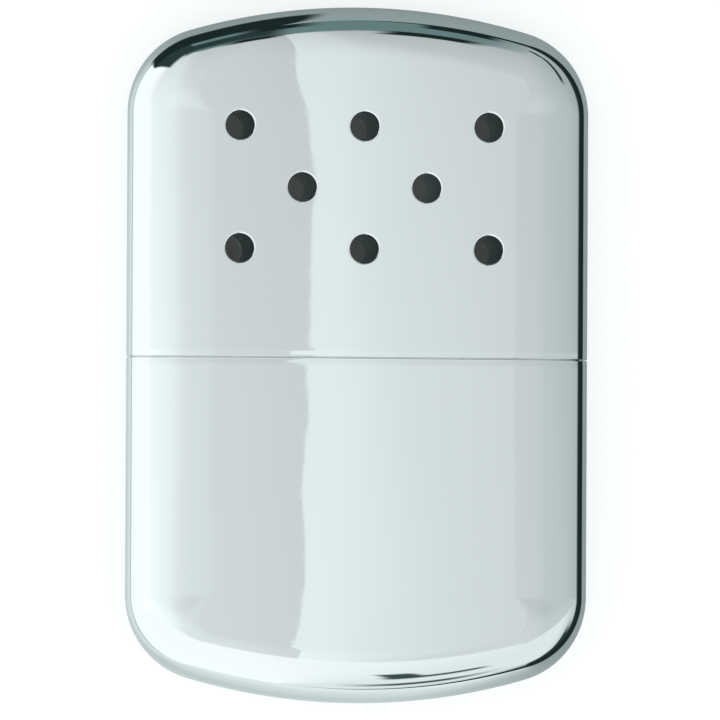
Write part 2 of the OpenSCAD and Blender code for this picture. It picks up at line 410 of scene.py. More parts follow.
@dataclass(frozen=True)
class MouthEdge:
    """The sheared and polished edge of a drawn shell, and the strip beside it that dips a little."""

    outer_r: float = 0.11
    inner_r: float = 0.08
    dip: float = 0.018
    dip_w: float = 1.0
    dip_rows: tuple[float, ...] = (0.19, 0.3, 0.43, 0.54, 0.66, 0.79, 0.93, 1.1, 1.6)
    steps: int = 5
    inner_steps: int = 3

    def rows(self) -> np.ndarray:
        """Distances from the edge at which the dip is drawn."""
        return np.array([self.outer_r, *self.dip_rows])

    def drop(self, away: np.ndarray) -> tuple[np.ndarray, np.ndarray]:
        """Works out how far the sheet dips beside its edge.

        Args:
            away: Distances from the edge.

        Returns:
            The dip and its slope.
        """
        span = self.dip_w - self.outer_r
        t = np.clip((self.dip_w - away) / span, 0, 1)
        slope = np.where((t > 0) & (t < 1), -self.dip * 6 * t * (1 - t) / span, 0.0)
        return self.dip * t * t * (3 - 2 * t), slope


def pierced_section(outer_r: float, inner_r: float, sheet: float, outer_steps: int,
                    inner_steps: int) -> list[tuple[float, float, float]]:
    """Draws the section of a hole's wall through sheet, rounded at both edges.

    Args:
        outer_r: Radius of the outer edge.
        inner_r: Radius of the inner edge.
        sheet: Thickness of the sheet.
        outer_steps: Steps in the outer rounding.
        inner_steps: Steps in the inner rounding.

    Returns:
        How far the hole is wider, how deep in the sheet, and how far the wall has turned, point by point.
    """
    outer = np.linspace(0, math.pi / 2, outer_steps + 1)[1:]
    inner = np.linspace(0, math.pi / 2, inner_steps + 1)[:-1]
    return [(outer_r * (1 - math.sin(t)), outer_r * (1 - math.cos(t)), t) for t in outer] + [
        (inner_r * (1 - math.cos(t)), sheet - inner_r * (1 - math.sin(t)), math.pi / 2 + t) for t in inner]


@dataclass(frozen=True)
class VentPattern:
    """Round vents in quincunx, three and two in turn, their edges rounded by the polishing wheel."""

    diameter: float = 4.0
    step_x: float = 8.9
    step_y: float = 8.7
    rise: float = 15.4
    rows: int = 3
    outer_r: float = 0.32
    inner_r: float = 0.08
    clear: float = 0.35
    corners: int = 48
    steps: int = 5
    inner_steps: int = 3

    def centres(self) -> list[tuple[float, float]]:
        """Centres of the vents in a face."""
        return [((2 * column + row % 2) * self.step_x, SEAM_Y + self.rise + row * self.step_y)
                for row in range(self.rows) for column in range(-1, 2 - row % 2)]


class ShellFinish(Enum):
    """The two finishes of a drawn shell, in the order of its material slots."""

    POLISHED = 0
    INSIDE = 1


@dataclass
class DrawnShell:
    """One drawn half of the body: a skin outside and inside, a rounded mouth, and vents if it has them."""

    form: BodyForm
    edge: MouthEdge
    mouth_y: float
    front: FaceCrown
    back: FaceCrown
    vents: VentPattern | None = None
    sheet: float = 0.5
    pitch: float = 1.05
    rim_clear: float = 0.1
    _rings: dict[tuple[int, int, bool], np.ndarray] = field(default_factory=dict, init=False)

    def draft(self) -> MeshDraft:
        """Builds the shell with its mouth towards -Y.

        Returns:
            The shell's mesh draft.
        """
        draft = MeshDraft()
        first_rows = self.mouth_y + self.edge.rows()
        places = self.form.rim(first_rows, self.front, self.back)
        normals = surface_normals(places)
        drop = self.edge.drop(places[..., 1] - self.mouth_y)[0]
        places = places - normals * drop[..., None]
        normals = surface_normals(places)
        flats = {}
        for side, crown, column in ((1.0, self.front, 0), (-1.0, self.back, -1)):
            rim_xy = places[:, column, :2]
            places[:, column, 2], normals[:, column] = self._face(rim_xy, crown, side)
            flats[column] = self._flat_points(rim_xy, crown, side)
        skins = []
        for inset, finish in ((0.0, ShellFinish.POLISHED), (self.sheet, ShellFinish.INSIDE)):
            turn = 1.0 if inset == 0 else -1.0
            rim = draft.add_points(places - normals * inset, normals * turn)
            draft.add_grid(rim, finish.value)
            mouths = []
            for column in (0, -1):
                mouth_at, mouth_n, field_at, field_n = flats[column]
                mouth = draft.add_points(mouth_at - mouth_n * inset, mouth_n * turn)
                inside = draft.add_points(field_at - field_n * inset, field_n * turn)
                holes = self._vent_rings(draft, column, inset)
                loop = np.concatenate([rim[:, column], mouth])
                draft.add_flat(loop, holes, inside, finish.value)
                mouths.append(mouth)
            skins.append((rim, mouths))
        self._close_mouth(draft, places, normals, flats, skins)
        self._close_vents(draft)
        return draft

    def _face(self, xy: np.ndarray, crown: FaceCrown, side: float) -> tuple[np.ndarray, np.ndarray]:
        """Heights and normals of a face at given places.

        Args:
            xy: Places across and along.
            crown: The face's crown.
            side: 1 for the front face and -1 for the back face.

        Returns:
            Heights over the floor, and normals.
        """
        fall, slope_x, slope_y = crown.fall(xy[..., 0], xy[..., 1])
        drop, drop_slope = self.edge.drop(xy[..., 1] - self.mouth_y)
        normals = np.stack([slope_x, slope_y + drop_slope, np.full_like(fall, side)], axis=-1)
        normals = normals / np.linalg.norm(normals, axis=-1, keepdims=True)
        return self.form.mid + side * (self.form.mid - fall - drop), normals

    def _flat_points(self, rim_xy: np.ndarray, crown: FaceCrown, side: float) -> tuple[np.ndarray, ...]:
        """Spreads points over a face: along its mouth, and inside it.

        Args:
            rim_xy: The face's edge, from the right of the mouth over the arch to the left of the mouth.
            crown: The face's crown.
            side: 1 for the front face and -1 for the back face.

        Returns:
            Places and normals along the mouth from left to right, then places and normals inside.
        """
        half = rim_xy[0, 0]
        across = np.linspace(-half, half, 2 * round(half / self.pitch) + 1)[1:-1]
        first = self.mouth_y + self.edge.rows()
        farther = np.arange(first[-1] + self.pitch, rim_xy[:, 1].max(), self.pitch)
        along = np.concatenate([first[1:], farther])
        mouth = np.stack([across, np.full_like(across, first[0])], axis=1)
        inside = np.stack(np.meshgrid(across, along), axis=-1).reshape(-1, 2)
        keep = inside_outline(inside, rim_xy)
        gap = np.linalg.norm(inside[:, None, :] - rim_xy[None, :, :], axis=2).min(axis=1)
        keep &= gap > self.rim_clear
        if self.vents:
            clear = self.vents.diameter / 2 + self.vents.outer_r + self.vents.clear
            for centre in self.vents.centres():
                keep &= np.linalg.norm(inside - centre, axis=1) > clear
        result = []
        for xy in (mouth, inside[keep]):
            level, normals = self._face(xy, crown, side)
            result += [np.concatenate([xy, level[:, None]], axis=1), normals]
        return tuple(result)

    def _vent_rings(self, draft: MeshDraft, column: int, inset: float) -> list[np.ndarray]:
        """Makes the rings of points round the vents of one skin, and keeps them for the vents' walls.

        Args:
            draft: The shell's mesh draft.
            column: 0 for the front face and -1 for the back face.
            inset: How deep the skin lies in the sheet.

        Returns:
            The rings' point numbers.
        """
        if not self.vents:
            return []
        grow = self.vents.outer_r if inset == 0 else self.vents.inner_r
        crown, side = (self.front, 1.0) if column == 0 else (self.back, -1.0)
        turn = 1.0 if inset == 0 else -1.0
        angle = np.linspace(0, 2 * math.pi, self.vents.corners, endpoint=False)
        round_about = np.stack([np.cos(angle), np.sin(angle)], axis=1)
        rings = []
        for number, centre in enumerate(self.vents.centres()):
            xy = np.array(centre) + (self.vents.diameter / 2 + grow) * round_about
            level, normals = self._face(xy, crown, side)
            at = np.concatenate([xy, level[:, None]], axis=1) - np.array([0, 0, side]) * inset
            rings.append(draft.add_points(at, normals * turn))
            self._rings[(number, column, inset > 0)] = rings[-1]
        return rings

    def _close_vents(self, draft: MeshDraft) -> None:
        """Joins the skins through each vent with a rounded outer edge and a plain wall.

        Args:
            draft: The shell's mesh draft.
        """
        if not self.vents:
            return
        v = self.vents
        angle = np.linspace(0, 2 * math.pi, v.corners, endpoint=False)
        out = np.stack([np.cos(angle), np.sin(angle), np.zeros_like(angle)], axis=1)
        section = pierced_section(v.outer_r, v.inner_r, self.sheet, v.steps, v.inner_steps)
        for number, centre in enumerate(v.centres()):
            for column, crown, side in ((0, self.front, 1.0), (-1, self.back, -1.0)):
                rows = [self._rings[(number, column, False)]]
                for grow, depth, t in section:
                    at = np.array([centre[0], centre[1], 0.0]) + (v.diameter / 2 + grow) * out
                    level = self._face(at[:, :2], crown, side)[0]
                    at[:, 2] = level - side * depth
                    rows.append(draft.add_points(at, -out * math.sin(t) + [0, 0, side * math.cos(t)]))
                rows.append(self._rings[(number, column, True)])
                draft.add_grid(np.array(rows[:v.steps + 2]), ShellFinish.POLISHED.value, closed=True)
                draft.add_grid(np.array(rows[v.steps + 1:]), ShellFinish.INSIDE.value, closed=True)

    def _close_mouth(self, draft: MeshDraft, places: np.ndarray, normals: np.ndarray, flats: dict,
                     skins: list) -> None:
        """Joins the two skins round the mouth with the sheet's rounded edge.

        Args:
            draft: The shell's mesh draft.
            places: Places on the outer rim.
            normals: Normals on the outer rim.
            flats: Points of the two faces.
            skins: Point numbers of the outer and the inner skin.
        """
        def around(rim: np.ndarray, front: np.ndarray, back: np.ndarray) -> np.ndarray:
            """Puts what lies round the mouth in order: front face, right rim, back face, left rim."""
            return np.concatenate([front, rim[0], back[::-1], rim[-1][::-1]])

        at = around(places, flats[0][0], flats[-1][0])
        out = around(normals, flats[0][1], flats[-1][1])
        out = out * [1, 0, 1]
        out = out / np.linalg.norm(out, axis=1, keepdims=True)
        loops = [around(rim, mouths[0], mouths[1]) for rim, mouths in skins]
        e, down = self.edge, np.array([0.0, -1.0, 0.0])
        rows = [loops[0]]
        for t in np.linspace(0, math.pi / 2, e.steps + 1)[1:]:
            shift = down * e.outer_r * math.sin(t) - out * e.outer_r * (1 - math.cos(t))
            rows.append(draft.add_points(at + shift, out * math.cos(t) + down * math.sin(t)))
        for t in np.linspace(0, math.pi / 2, e.inner_steps + 1):
            depth = self.sheet - e.inner_r + e.inner_r * math.sin(t)
            shift = down * (e.outer_r - e.inner_r * (1 - math.cos(t))) - out * depth
            rows.append(draft.add_points(at + shift, down * math.cos(t) - out * math.sin(t)))
        rows.append(loops[1])
        draft.add_grid(np.array(rows[:-1]), ShellFinish.POLISHED.value, closed=True)
        draft.add_grid(np.array(rows[-2:]), ShellFinish.INSIDE.value, closed=True)


# ---------------------------------------------------------------------------------------------------------
# Swept sheet
# ---------------------------------------------------------------------------------------------------------


def obround_loop(width: float, thickness: float, pitch: float = 0.4) -> tuple[np.ndarray, np.ndarray]:
    """Draws an obround in X and Z round mid-thickness.

    Args:
        width: Size along X.
        thickness: Size along Z.
        pitch: Greatest step between points.

    Returns:
        Places on the outline and outward directions there.
    """
    run, r = (width - thickness) / 2, thickness / 2
    turn = np.linspace(-math.pi / 2, math.pi / 2, max(16, round(math.pi * r / pitch)) + 1)
    out = np.stack([np.cos(turn), np.sin(turn)], axis=1)
    straight = np.linspace(run, -run, max(2, round(2 * run / pitch)) + 1)[1:-1]
    flat = np.tile([0.0, 1.0], (len(straight), 1))
    half = np.concatenate([[run, 0] + r * out, np.stack([straight, np.full_like(straight, r)], axis=1)])
    ways = np.concatenate([out, flat])
    mid = np.array([0.0, BodyForm().mid])
    return np.concatenate([half, -half]) + mid, np.concatenate([ways, -ways])


def body_loop(form: BodyForm, flat_steps: int = 41) -> tuple[np.ndarray, np.ndarray]:
    """Draws the body's closed section in X and Z, without ripple.

    Args:
        form: The body's form.
        flat_steps: Steps across each face.

    Returns:
        Places on the outline and outward directions there.
    """
    plain = FaceCrown(seed=0, along_r=1e9, ripple=0.0)
    right = form.rim(np.array([-1.0, 0.0]), plain, plain)[0][:, [0, 2]]
    half = form.width / 2 - form.shoulder_w
    across = np.linspace(half, -half, flat_steps + 1)[1:-1]
    fall = plain.fall(across, 0 * across)[0]
    back = np.stack([across, fall], axis=1)
    left = right[::-1] * [-1, 1]
    front = np.stack([-across, form.thickness - fall], axis=1)
    loop = np.concatenate([right, back, left, front])
    along = np.roll(loop, -1, axis=0) - np.roll(loop, 1, axis=0)
    out = np.stack([-along[:, 1], along[:, 0]], axis=1)
    return loop, out / np.linalg.norm(out, axis=1, keepdims=True)


def rounded_section(corners: list[tuple[float, float, float]],
                    steps: int = 5) -> tuple[np.ndarray, np.ndarray]:
    """Draws an open section whose corners are rounded. The metal lies on the right of the way along it.

    Args:
        corners: Offset from the loop, level along Y and radius of each corner; both ends have no radius.
        steps: Steps in each rounding.

    Returns:
        Offsets and levels of the section's points, and the normals there in the same terms.
    """
    at = np.array([corner[:2] for corner in corners], float)
    ways = np.diff(at, axis=0)
    ways /= np.linalg.norm(ways, axis=1, keepdims=True)
    sides = np.stack([-ways[:, 1], ways[:, 0]], axis=1)
    points, normals = [at[0]], [sides[0]]
    for number in range(1, len(at) - 1):
        before, after = sides[number - 1], sides[number]
        turn = math.atan2(before[0] * after[1] - before[1] * after[0], before @ after)
        r = corners[number][2]
        centre = at[number] - r * math.copysign(1, -turn) * (before + after) / (1 + before @ after)
        for share in np.linspace(0, 1, steps + 1):
            c, s = math.cos(turn * share), math.sin(turn * share)
            normal = np.array([before[0] * c - before[1] * s, before[0] * s + before[1] * c])
            points.append(centre + r * math.copysign(1, -turn) * normal)
            normals.append(normal)
    return np.array(points + [at[-1]]), np.array(normals + [sides[-1]])


def sweep(draft: MeshDraft, loop: tuple[np.ndarray, np.ndarray], section: tuple[np.ndarray, np.ndarray],
          finish: int = 0) -> np.ndarray:
    """Sweeps a section round a loop in X and Z.

    Args:
        draft: The mesh draft that takes the faces.
        loop: Places and outward directions of the loop.
        section: Offsets and levels of the section, and its normals.
        finish: Which of the piece's materials the faces take.

    Returns:
        Point numbers, section by loop.
    """
    (at, out), (points, normals) = loop, section
    xz = at[None] + points[:, None, :1] * out[None]
    level = np.broadcast_to(points[:, None, 1], xz.shape[:2])
    lean = normals[:, None, :1] * out[None]
    rise = np.broadcast_to(normals[:, None, 1], xz.shape[:2])
    numbers = draft.add_points(np.stack([xz[..., 0], level, xz[..., 1]], axis=-1),
                               np.stack([lean[..., 0], rise, lean[..., 1]], axis=-1))
    draft.add_grid(numbers, finish, closed=True)
    return numbers


NO_POINTS = np.array([], int)


# ---------------------------------------------------------------------------------------------------------
# Nodes and colours
# ---------------------------------------------------------------------------------------------------------

# What feeds a socket: another socket, or a node by its first one.
Feed = bpy.types.Node | bpy.types.NodeSocket
# Values in order, each with what it turns into.
Stops = tuple[tuple[float, float], ...]


def linear(code: str) -> tuple[float, float, float, float]:
    """Turns an sRGB hex value into the linear colour that shaders take.

    Args:
        code: A value such as "#C9CFCE".

    Returns:
        Red, green, blue and an alpha of 1.
    """
    parts = [int(code[i:i + 2], 16) / 255 for i in (1, 3, 5)]
    red, green, blue = (p / 12.92 if p <= 0.04045 else ((p + 0.055) / 1.055) ** 2.4 for p in parts)
    return red, green, blue, 1.0


def add_node(tree: bpy.types.NodeTree, kind: str, inputs: dict | None = None, **settings) -> bpy.types.Node:
    """Adds a shader node with its settings, its fixed values and its links.

    Args:
        tree: The node tree.
        kind: The node's type, without the ShaderNode that all of them start with.
        inputs: Socket name or number to a fixed value, or to what feeds it: a socket or a node's first one.
        **settings: Properties of the node.

    Returns:
        The new node.
    """
    node = tree.nodes.new("ShaderNode" + kind)
    for name, value in settings.items():
        setattr(node, name, value)
    for name, value in (inputs or {}).items():
        feed = value.outputs[0] if isinstance(value, bpy.types.Node) else value
        if isinstance(feed, bpy.types.NodeSocket):
            tree.links.new(feed, node.inputs[name])
        else:
            node.inputs[name].default_value = feed
    return node


def blank_tree(name: str) -> tuple[bpy.types.Material, bpy.types.NodeTree]:
    """Makes a material with an empty node tree.

    Args:
        name: The material's name.

    Returns:
        The material and its tree.
    """
    material = bpy.data.materials.new(name)
    material.use_nodes = True
    material.node_tree.nodes.clear()
    return material, material.node_tree


def graph(tree: bpy.types.NodeTree, value: Feed, stops: Stops) -> bpy.types.Node:
    """Turns a value into another by straight pieces.

    Args:
        tree: The node tree.
        value: The value.
        stops: Values in order, each with what it turns into.

    Returns:
        The node that gives the new value.
    """
    total = stops[0][1]
    for (low, before), (high, after) in zip(stops, stops[1:]):
        piece = add_node(tree, "MapRange", {
            "Value": value, "From Min": low, "From Max": high, "To Min": 0.0, "To Max": after - before})
        total = add_node(tree, "Math", {0: piece, 1: total}, operation="ADD")
    return total


def set_ramp(node: bpy.types.Node, stops: list[tuple[float, str]]) -> bpy.types.Node:
    """Gives a colour ramp its stops.

    Args:
        node: The colour ramp.
        stops: Places from 0 to 1, in order, with their hex colours.

    Returns:
        The same node.
    """
    elements = node.color_ramp.elements
    while len(elements) > 1:
        elements.remove(elements[-1])
    elements[0].position, elements[0].color = stops[0][0], linear(stops[0][1])
    for place, code in stops[1:]:
        elements.new(place).color = linear(code)
    return node


# ---------------------------------------------------------------------------------------------------------
# Finishes
# ---------------------------------------------------------------------------------------------------------


class Finish:
    """A finish of a piece: one shader, fed by patterns that are laid out by places on the piece."""

    name: str

    def make(self) -> bpy.types.Material:
        """Builds the material.

        Returns:
            The new material.
        """
        material, tree = blank_tree(self.name)
        at = add_node(tree, "TexCoord").outputs["Object"]
        shader = add_node(tree, "BsdfPrincipled", self.surface(tree, at))
        add_node(tree, "OutputMaterial", {"Surface": shader})
        return material

    def surface(self, tree: bpy.types.NodeTree, at: bpy.types.NodeSocket) -> dict:
        """Says what feeds the shader, which each finish does in its own way.

        Args:
            tree: The material's node tree.
            at: Places on the piece, in metres.

        Returns:
            Socket name to a fixed value or to what feeds it.
        """
        raise NotImplementedError


@dataclass(frozen=True)
class BrightChromePlate(Finish):
    """Bright chrome over nickel on drawn steel, buffed crosswise: a cool mirror with faint hairlines."""

    name: str = "bright_chrome_plate_on_drawn_steel"
    colour: str = "#CBD3D3"
    roughness: float = 0.008
    hairline: float = 0.022
    hairline_pitch: float = 0.35
    peel_pitch: float = 3.2

    def surface(self, tree: bpy.types.NodeTree, at: bpy.types.NodeSocket) -> dict:
        """Feeds the shader with hairlines and orange peel. See Finish."""
        # Buffing runs across the body. Its lines are finer than a pixel, so they are drawn at a third of a
        # millimetre, long in X and narrow in Y.
        buffed = add_node(tree, "Mapping", {"Vector": at, "Scale": (0.05, 1.0, 1.0)})
        lines = add_node(tree, "TexNoise", {
            "Vector": buffed, "Scale": 1 / (self.hairline_pitch * MM), "Detail": 3.0})
        rough = add_node(tree, "MapRange", {
            "Value": lines, "From Min": 0.35, "From Max": 0.8,
            "To Min": self.roughness, "To Max": self.roughness + self.hairline})
        # Orange peel: plating over a drawn face is never optically flat.
        peel = add_node(tree, "TexNoise", {"Vector": at, "Scale": 1 / (self.peel_pitch * MM), "Detail": 1.0})
        wave = add_node(tree, "Bump", {"Height": peel, "Strength": 0.35, "Distance": 0.0015 * MM})
        relief = add_node(tree, "Bump", {
            "Height": lines, "Strength": 0.25, "Distance": 0.0005 * MM, "Normal": wave})
        return {"Base Color": linear(self.colour), "Metallic": 1.0, "Roughness": rough, "Normal": relief}


@dataclass(frozen=True)
class DrawnSheetInside(Finish):
    """Inside of the drawn sheet: plated thinly over drawing marks, never buffed, so grey and satin."""

    name: str = "thin_plate_inside_drawn_steel"
    colour: str = "#B2C3C3"
    roughness: float = 0.34
    metal: float = 0.55
    mark_pitch: float = 0.6

    def surface(self, tree: bpy.types.NodeTree, at: bpy.types.NodeSocket) -> dict:
        """Feeds the shader with drawing marks. See Finish."""
        # The punch leaves marks along the draw, which is along Y.
        drawn_out = add_node(tree, "Mapping", {"Vector": at, "Scale": (1.0, 0.08, 1.0)})
        marks = add_node(tree, "TexNoise", {
            "Vector": drawn_out, "Scale": 1 / (self.mark_pitch * MM), "Detail": 4.0})
        rough = add_node(tree, "MapRange", {
            "Value": marks, "To Min": self.roughness - 0.08, "To Max": self.roughness + 0.14})
        relief = add_node(tree, "Bump", {"Height": marks, "Strength": 0.3, "Distance": 0.006 * MM})
        return {"Base Color": linear(self.colour), "Metallic": self.metal, "Roughness": rough,
                "Normal": relief}


@dataclass(frozen=True)
class SlipMarkedChrome(Finish):
    """Chrome plate of the collar: the lid slides over it, which leaves fine lengthwise marks and a haze."""

    name: str = "chrome_plate_with_slip_marks"
    colour: str = "#C6CCCC"
    roughness: float = 0.11
    mark_pitch: float = 0.5

    def surface(self, tree: bpy.types.NodeTree, at: bpy.types.NodeSocket) -> dict:
        """Feeds the shader with slip marks. See Finish."""
        slid = add_node(tree, "Mapping", {"Vector": at, "Scale": (1.0, 0.04, 1.0)})
        marks = add_node(tree, "TexNoise", {
            "Vector": slid, "Scale": 1 / (self.mark_pitch * MM), "Detail": 5.0, "Roughness": 0.65})
        rough = add_node(tree, "MapRange", {
            "Value": marks, "From Min": 0.45, "From Max": 0.75,
            "To Min": self.roughness, "To Max": self.roughness + 0.22})
        relief = add_node(tree, "Bump", {"Height": marks, "Strength": 0.5, "Distance": 0.003 * MM})
        return {"Base Color": linear(self.colour), "Metallic": 1.0, "Roughness": rough, "Normal": relief}


@dataclass(frozen=True)
class SatinNickelPlate(Finish):
    """Satin nickel plate on the filler neck: warm grey, with a fine grain and no clear reflections."""

    name: str = "satin_nickel_plate_on_steel"
    colour: str = "#C3BDB2"
    roughness: float = 0.27
    grain_pitch: float = 0.12
    cloud_pitch: float = 4.0

    def surface(self, tree: bpy.types.NodeTree, at: bpy.types.NodeSocket) -> dict:
        """Feeds the shader with grain and cloudy sheen. See Finish."""
        grain = add_node(tree, "TexNoise", {
            "Vector": at, "Scale": 1 / (self.grain_pitch * MM), "Detail": 2.0})
        cloud = add_node(tree, "TexNoise", {
            "Vector": at, "Scale": 1 / (self.cloud_pitch * MM), "Detail": 3.0})
        rough = add_node(tree, "MapRange", {
            "Value": cloud, "To Min": self.roughness - 0.08, "To Max": self.roughness + 0.12})
        relief = add_node(tree, "Bump", {"Height": grain, "Strength": 0.35, "Distance": 0.004 * MM})
        return {"Base Color": linear(self.colour), "Metallic": 1.0, "Roughness": rough, "Normal": relief}


@dataclass(frozen=True)
class HeatTintedStainless(Finish):
    """Pressed stainless sheet that has run hot: bare at the foot, then straw, brown to blue on the crown."""

    name: str = "heat_tinted_stainless_sheet"
    roughness: float = 0.26
    low_y: float = 4.0
    high_y: float = 12.4
    cloud_pitch: float = 3.5
    grain_pitch: float = 0.15
    edge_r: float = 0.07
    tints: tuple[tuple[float, str], ...] = (
        (0.0, "#B9B6AE"), (0.4, "#BDB5A0"), (0.62, "#B79F72"), (0.8, "#96704F"), (0.92, "#6F5566"),
        (1.0, "#5A6580"))

    def surface(self, tree: bpy.types.NodeTree, at: bpy.types.NodeSocket) -> dict:
        """Feeds the shader with heat tint by height, and rolled grain. See Finish."""
        level = add_node(tree, "SeparateXYZ", {0: at}).outputs["Y"]
        cloud = add_node(tree, "TexNoise", {
            "Vector": at, "Scale": 1 / (self.cloud_pitch * MM), "Detail": 4.0})
        height = add_node(tree, "MapRange", {
            "Value": level, "From Min": self.low_y * MM, "From Max": self.high_y * MM})
        patch = add_node(tree, "Math", {0: cloud, 1: 0.5, 2: height}, operation="MULTIPLY_ADD")
        patch = add_node(tree, "Math", {0: patch, 1: 0.25}, operation="SUBTRACT")
        tint = set_ramp(add_node(tree, "ValToRGB", {"Fac": patch}), list(self.tints))
        rolled = add_node(tree, "Mapping", {"Vector": at, "Scale": (0.1, 1.0, 1.0)})
        grain = add_node(tree, "TexNoise", {
            "Vector": rolled, "Scale": 1 / (self.grain_pitch * MM), "Detail": 3.0})
        rough = add_node(tree, "MapRange", {
            "Value": grain, "To Min": self.roughness - 0.06, "To Max": self.roughness + 0.12})
        # The press leaves no sharp edge on sheet this thin.
        soft = add_node(tree, "Bevel", {"Radius": self.edge_r * MM}, samples=4)
        relief = add_node(tree, "Bump", {
            "Height": grain, "Strength": 0.35, "Distance": 0.004 * MM, "Normal": soft})
        return {"Base Color": tint, "Metallic": 1.0, "Roughness": rough, "Normal": relief}


@dataclass(frozen=True)
class PunchedStainless(Finish):
    """Flat-rolled stainless plate with punched holes: a straight grain, and a straw tint from heat."""

    name: str = "punched_stainless_plate"
    colour: str = "#B5B2AA"
    warm: str = "#A99A78"
    roughness: float = 0.3
    grain_pitch: float = 0.12
    cloud_pitch: float = 5.0
    edge_r: float = 0.06

    def surface(self, tree: bpy.types.NodeTree, at: bpy.types.NodeSocket) -> dict:
        """Feeds the shader with rolled grain and warm patches. See Finish."""
        rolled = add_node(tree, "Mapping", {"Vector": at, "Scale": (0.06, 1.0, 1.0)})
        grain = add_node(tree, "TexNoise", {
            "Vector": rolled, "Scale": 1 / (self.grain_pitch * MM), "Detail": 3.0})
        cloud = add_node(tree, "TexNoise", {
            "Vector": at, "Scale": 1 / (self.cloud_pitch * MM), "Detail": 2.0})
        share = add_node(tree, "MapRange", {
            "Value": cloud, "From Min": 0.4, "From Max": 0.65}, interpolation_type="SMOOTHSTEP")
        tint = add_node(tree, "Mix", {
            "Factor": share, "A": linear(self.colour), "B": linear(self.warm)}, data_type="RGBA")
        rough = add_node(tree, "MapRange", {
            "Value": grain, "To Min": self.roughness - 0.07, "To Max": self.roughness + 0.12})
        soft = add_node(tree, "Bevel", {"Radius": self.edge_r * MM}, samples=4)
        relief = add_node(tree, "Bump", {
            "Height": grain, "Strength": 0.35, "Distance": 0.004 * MM, "Normal": soft})
        return {"Base Color": tint.outputs["Result"], "Metallic": 1.0, "Roughness": rough,
                "Normal": relief}


@dataclass(frozen=True)
class ScorchedWire(Finish):
    """Drawn stainless wire that lies on the hot pad: dark, and browner in places."""

    name: str = "scorched_stainless_wire"
    colour: str = "#7C766E"
    scorch: str = "#4E4338"
    roughness: float = 0.38
    cloud_pitch: float = 2.5

    def surface(self, tree: bpy.types.NodeTree, at: bpy.types.NodeSocket) -> dict:
        """Feeds the shader with scorched patches. See Finish."""
        cloud = add_node(tree, "TexNoise", {
            "Vector": at, "Scale": 1 / (self.cloud_pitch * MM), "Detail": 3.0})
        share = add_node(tree, "MapRange", {"Value": cloud, "From Min": 0.42, "From Max": 0.62})
        tint = add_node(tree, "Mix", {
            "Factor": share, "A": linear(self.colour), "B": linear(self.scorch)}, data_type="RGBA")
        rough = add_node(tree, "MapRange", {
            "Value": cloud, "To Min": self.roughness - 0.08, "To Max": self.roughness + 0.2})
        return {"Base Color": tint.outputs["Result"], "Metallic": 1.0, "Roughness": rough}


@dataclass(frozen=True)
class TangledFibre(Finish):
    """Matt tangle of fibres: needled glass, cotton or felt, by its colours, its pitch and its fuzz."""

    name: str
    light: str
    dark: str
    pitch: float
    depth: float
    sheen: float = 0.3

    def surface(self, tree: bpy.types.NodeTree, at: bpy.types.NodeSocket) -> dict:
        """Feeds the shader with strands that are combed one way and then stirred. See Finish."""
        stir = add_node(tree, "TexNoise", {"Vector": at, "Scale": 0.3 / (self.pitch * MM), "Detail": 2.0})
        swirl = add_node(tree, "VectorMath", {
            0: stir.outputs["Color"], "Scale": 3 * self.pitch * MM}, operation="SCALE")
        bent = add_node(tree, "VectorMath", {0: at, 1: swirl}, operation="ADD")
        combed = add_node(tree, "Mapping", {
            "Vector": bent, "Rotation": (0.4, 0.7, 0.5), "Scale": (0.15, 1.0, 1.0)})
        strands = add_node(tree, "TexNoise", {
            "Vector": combed, "Scale": 1 / (self.pitch * MM), "Detail": 4.0, "Roughness": 0.6})
        share = add_node(tree, "MapRange", {"Value": strands, "From Min": 0.35, "From Max": 0.65})
        tint = add_node(tree, "Mix", {
            "Factor": share, "A": linear(self.dark), "B": linear(self.light)}, data_type="RGBA")
        relief = add_node(tree, "Bump", {
            "Height": strands, "Strength": 0.9, "Distance": self.depth * MM})
        return {"Base Color": tint.outputs["Result"], "Roughness": 0.95, "Sheen Weight": self.sheen,
                "Sheen Roughness": 0.5, "Normal": relief}


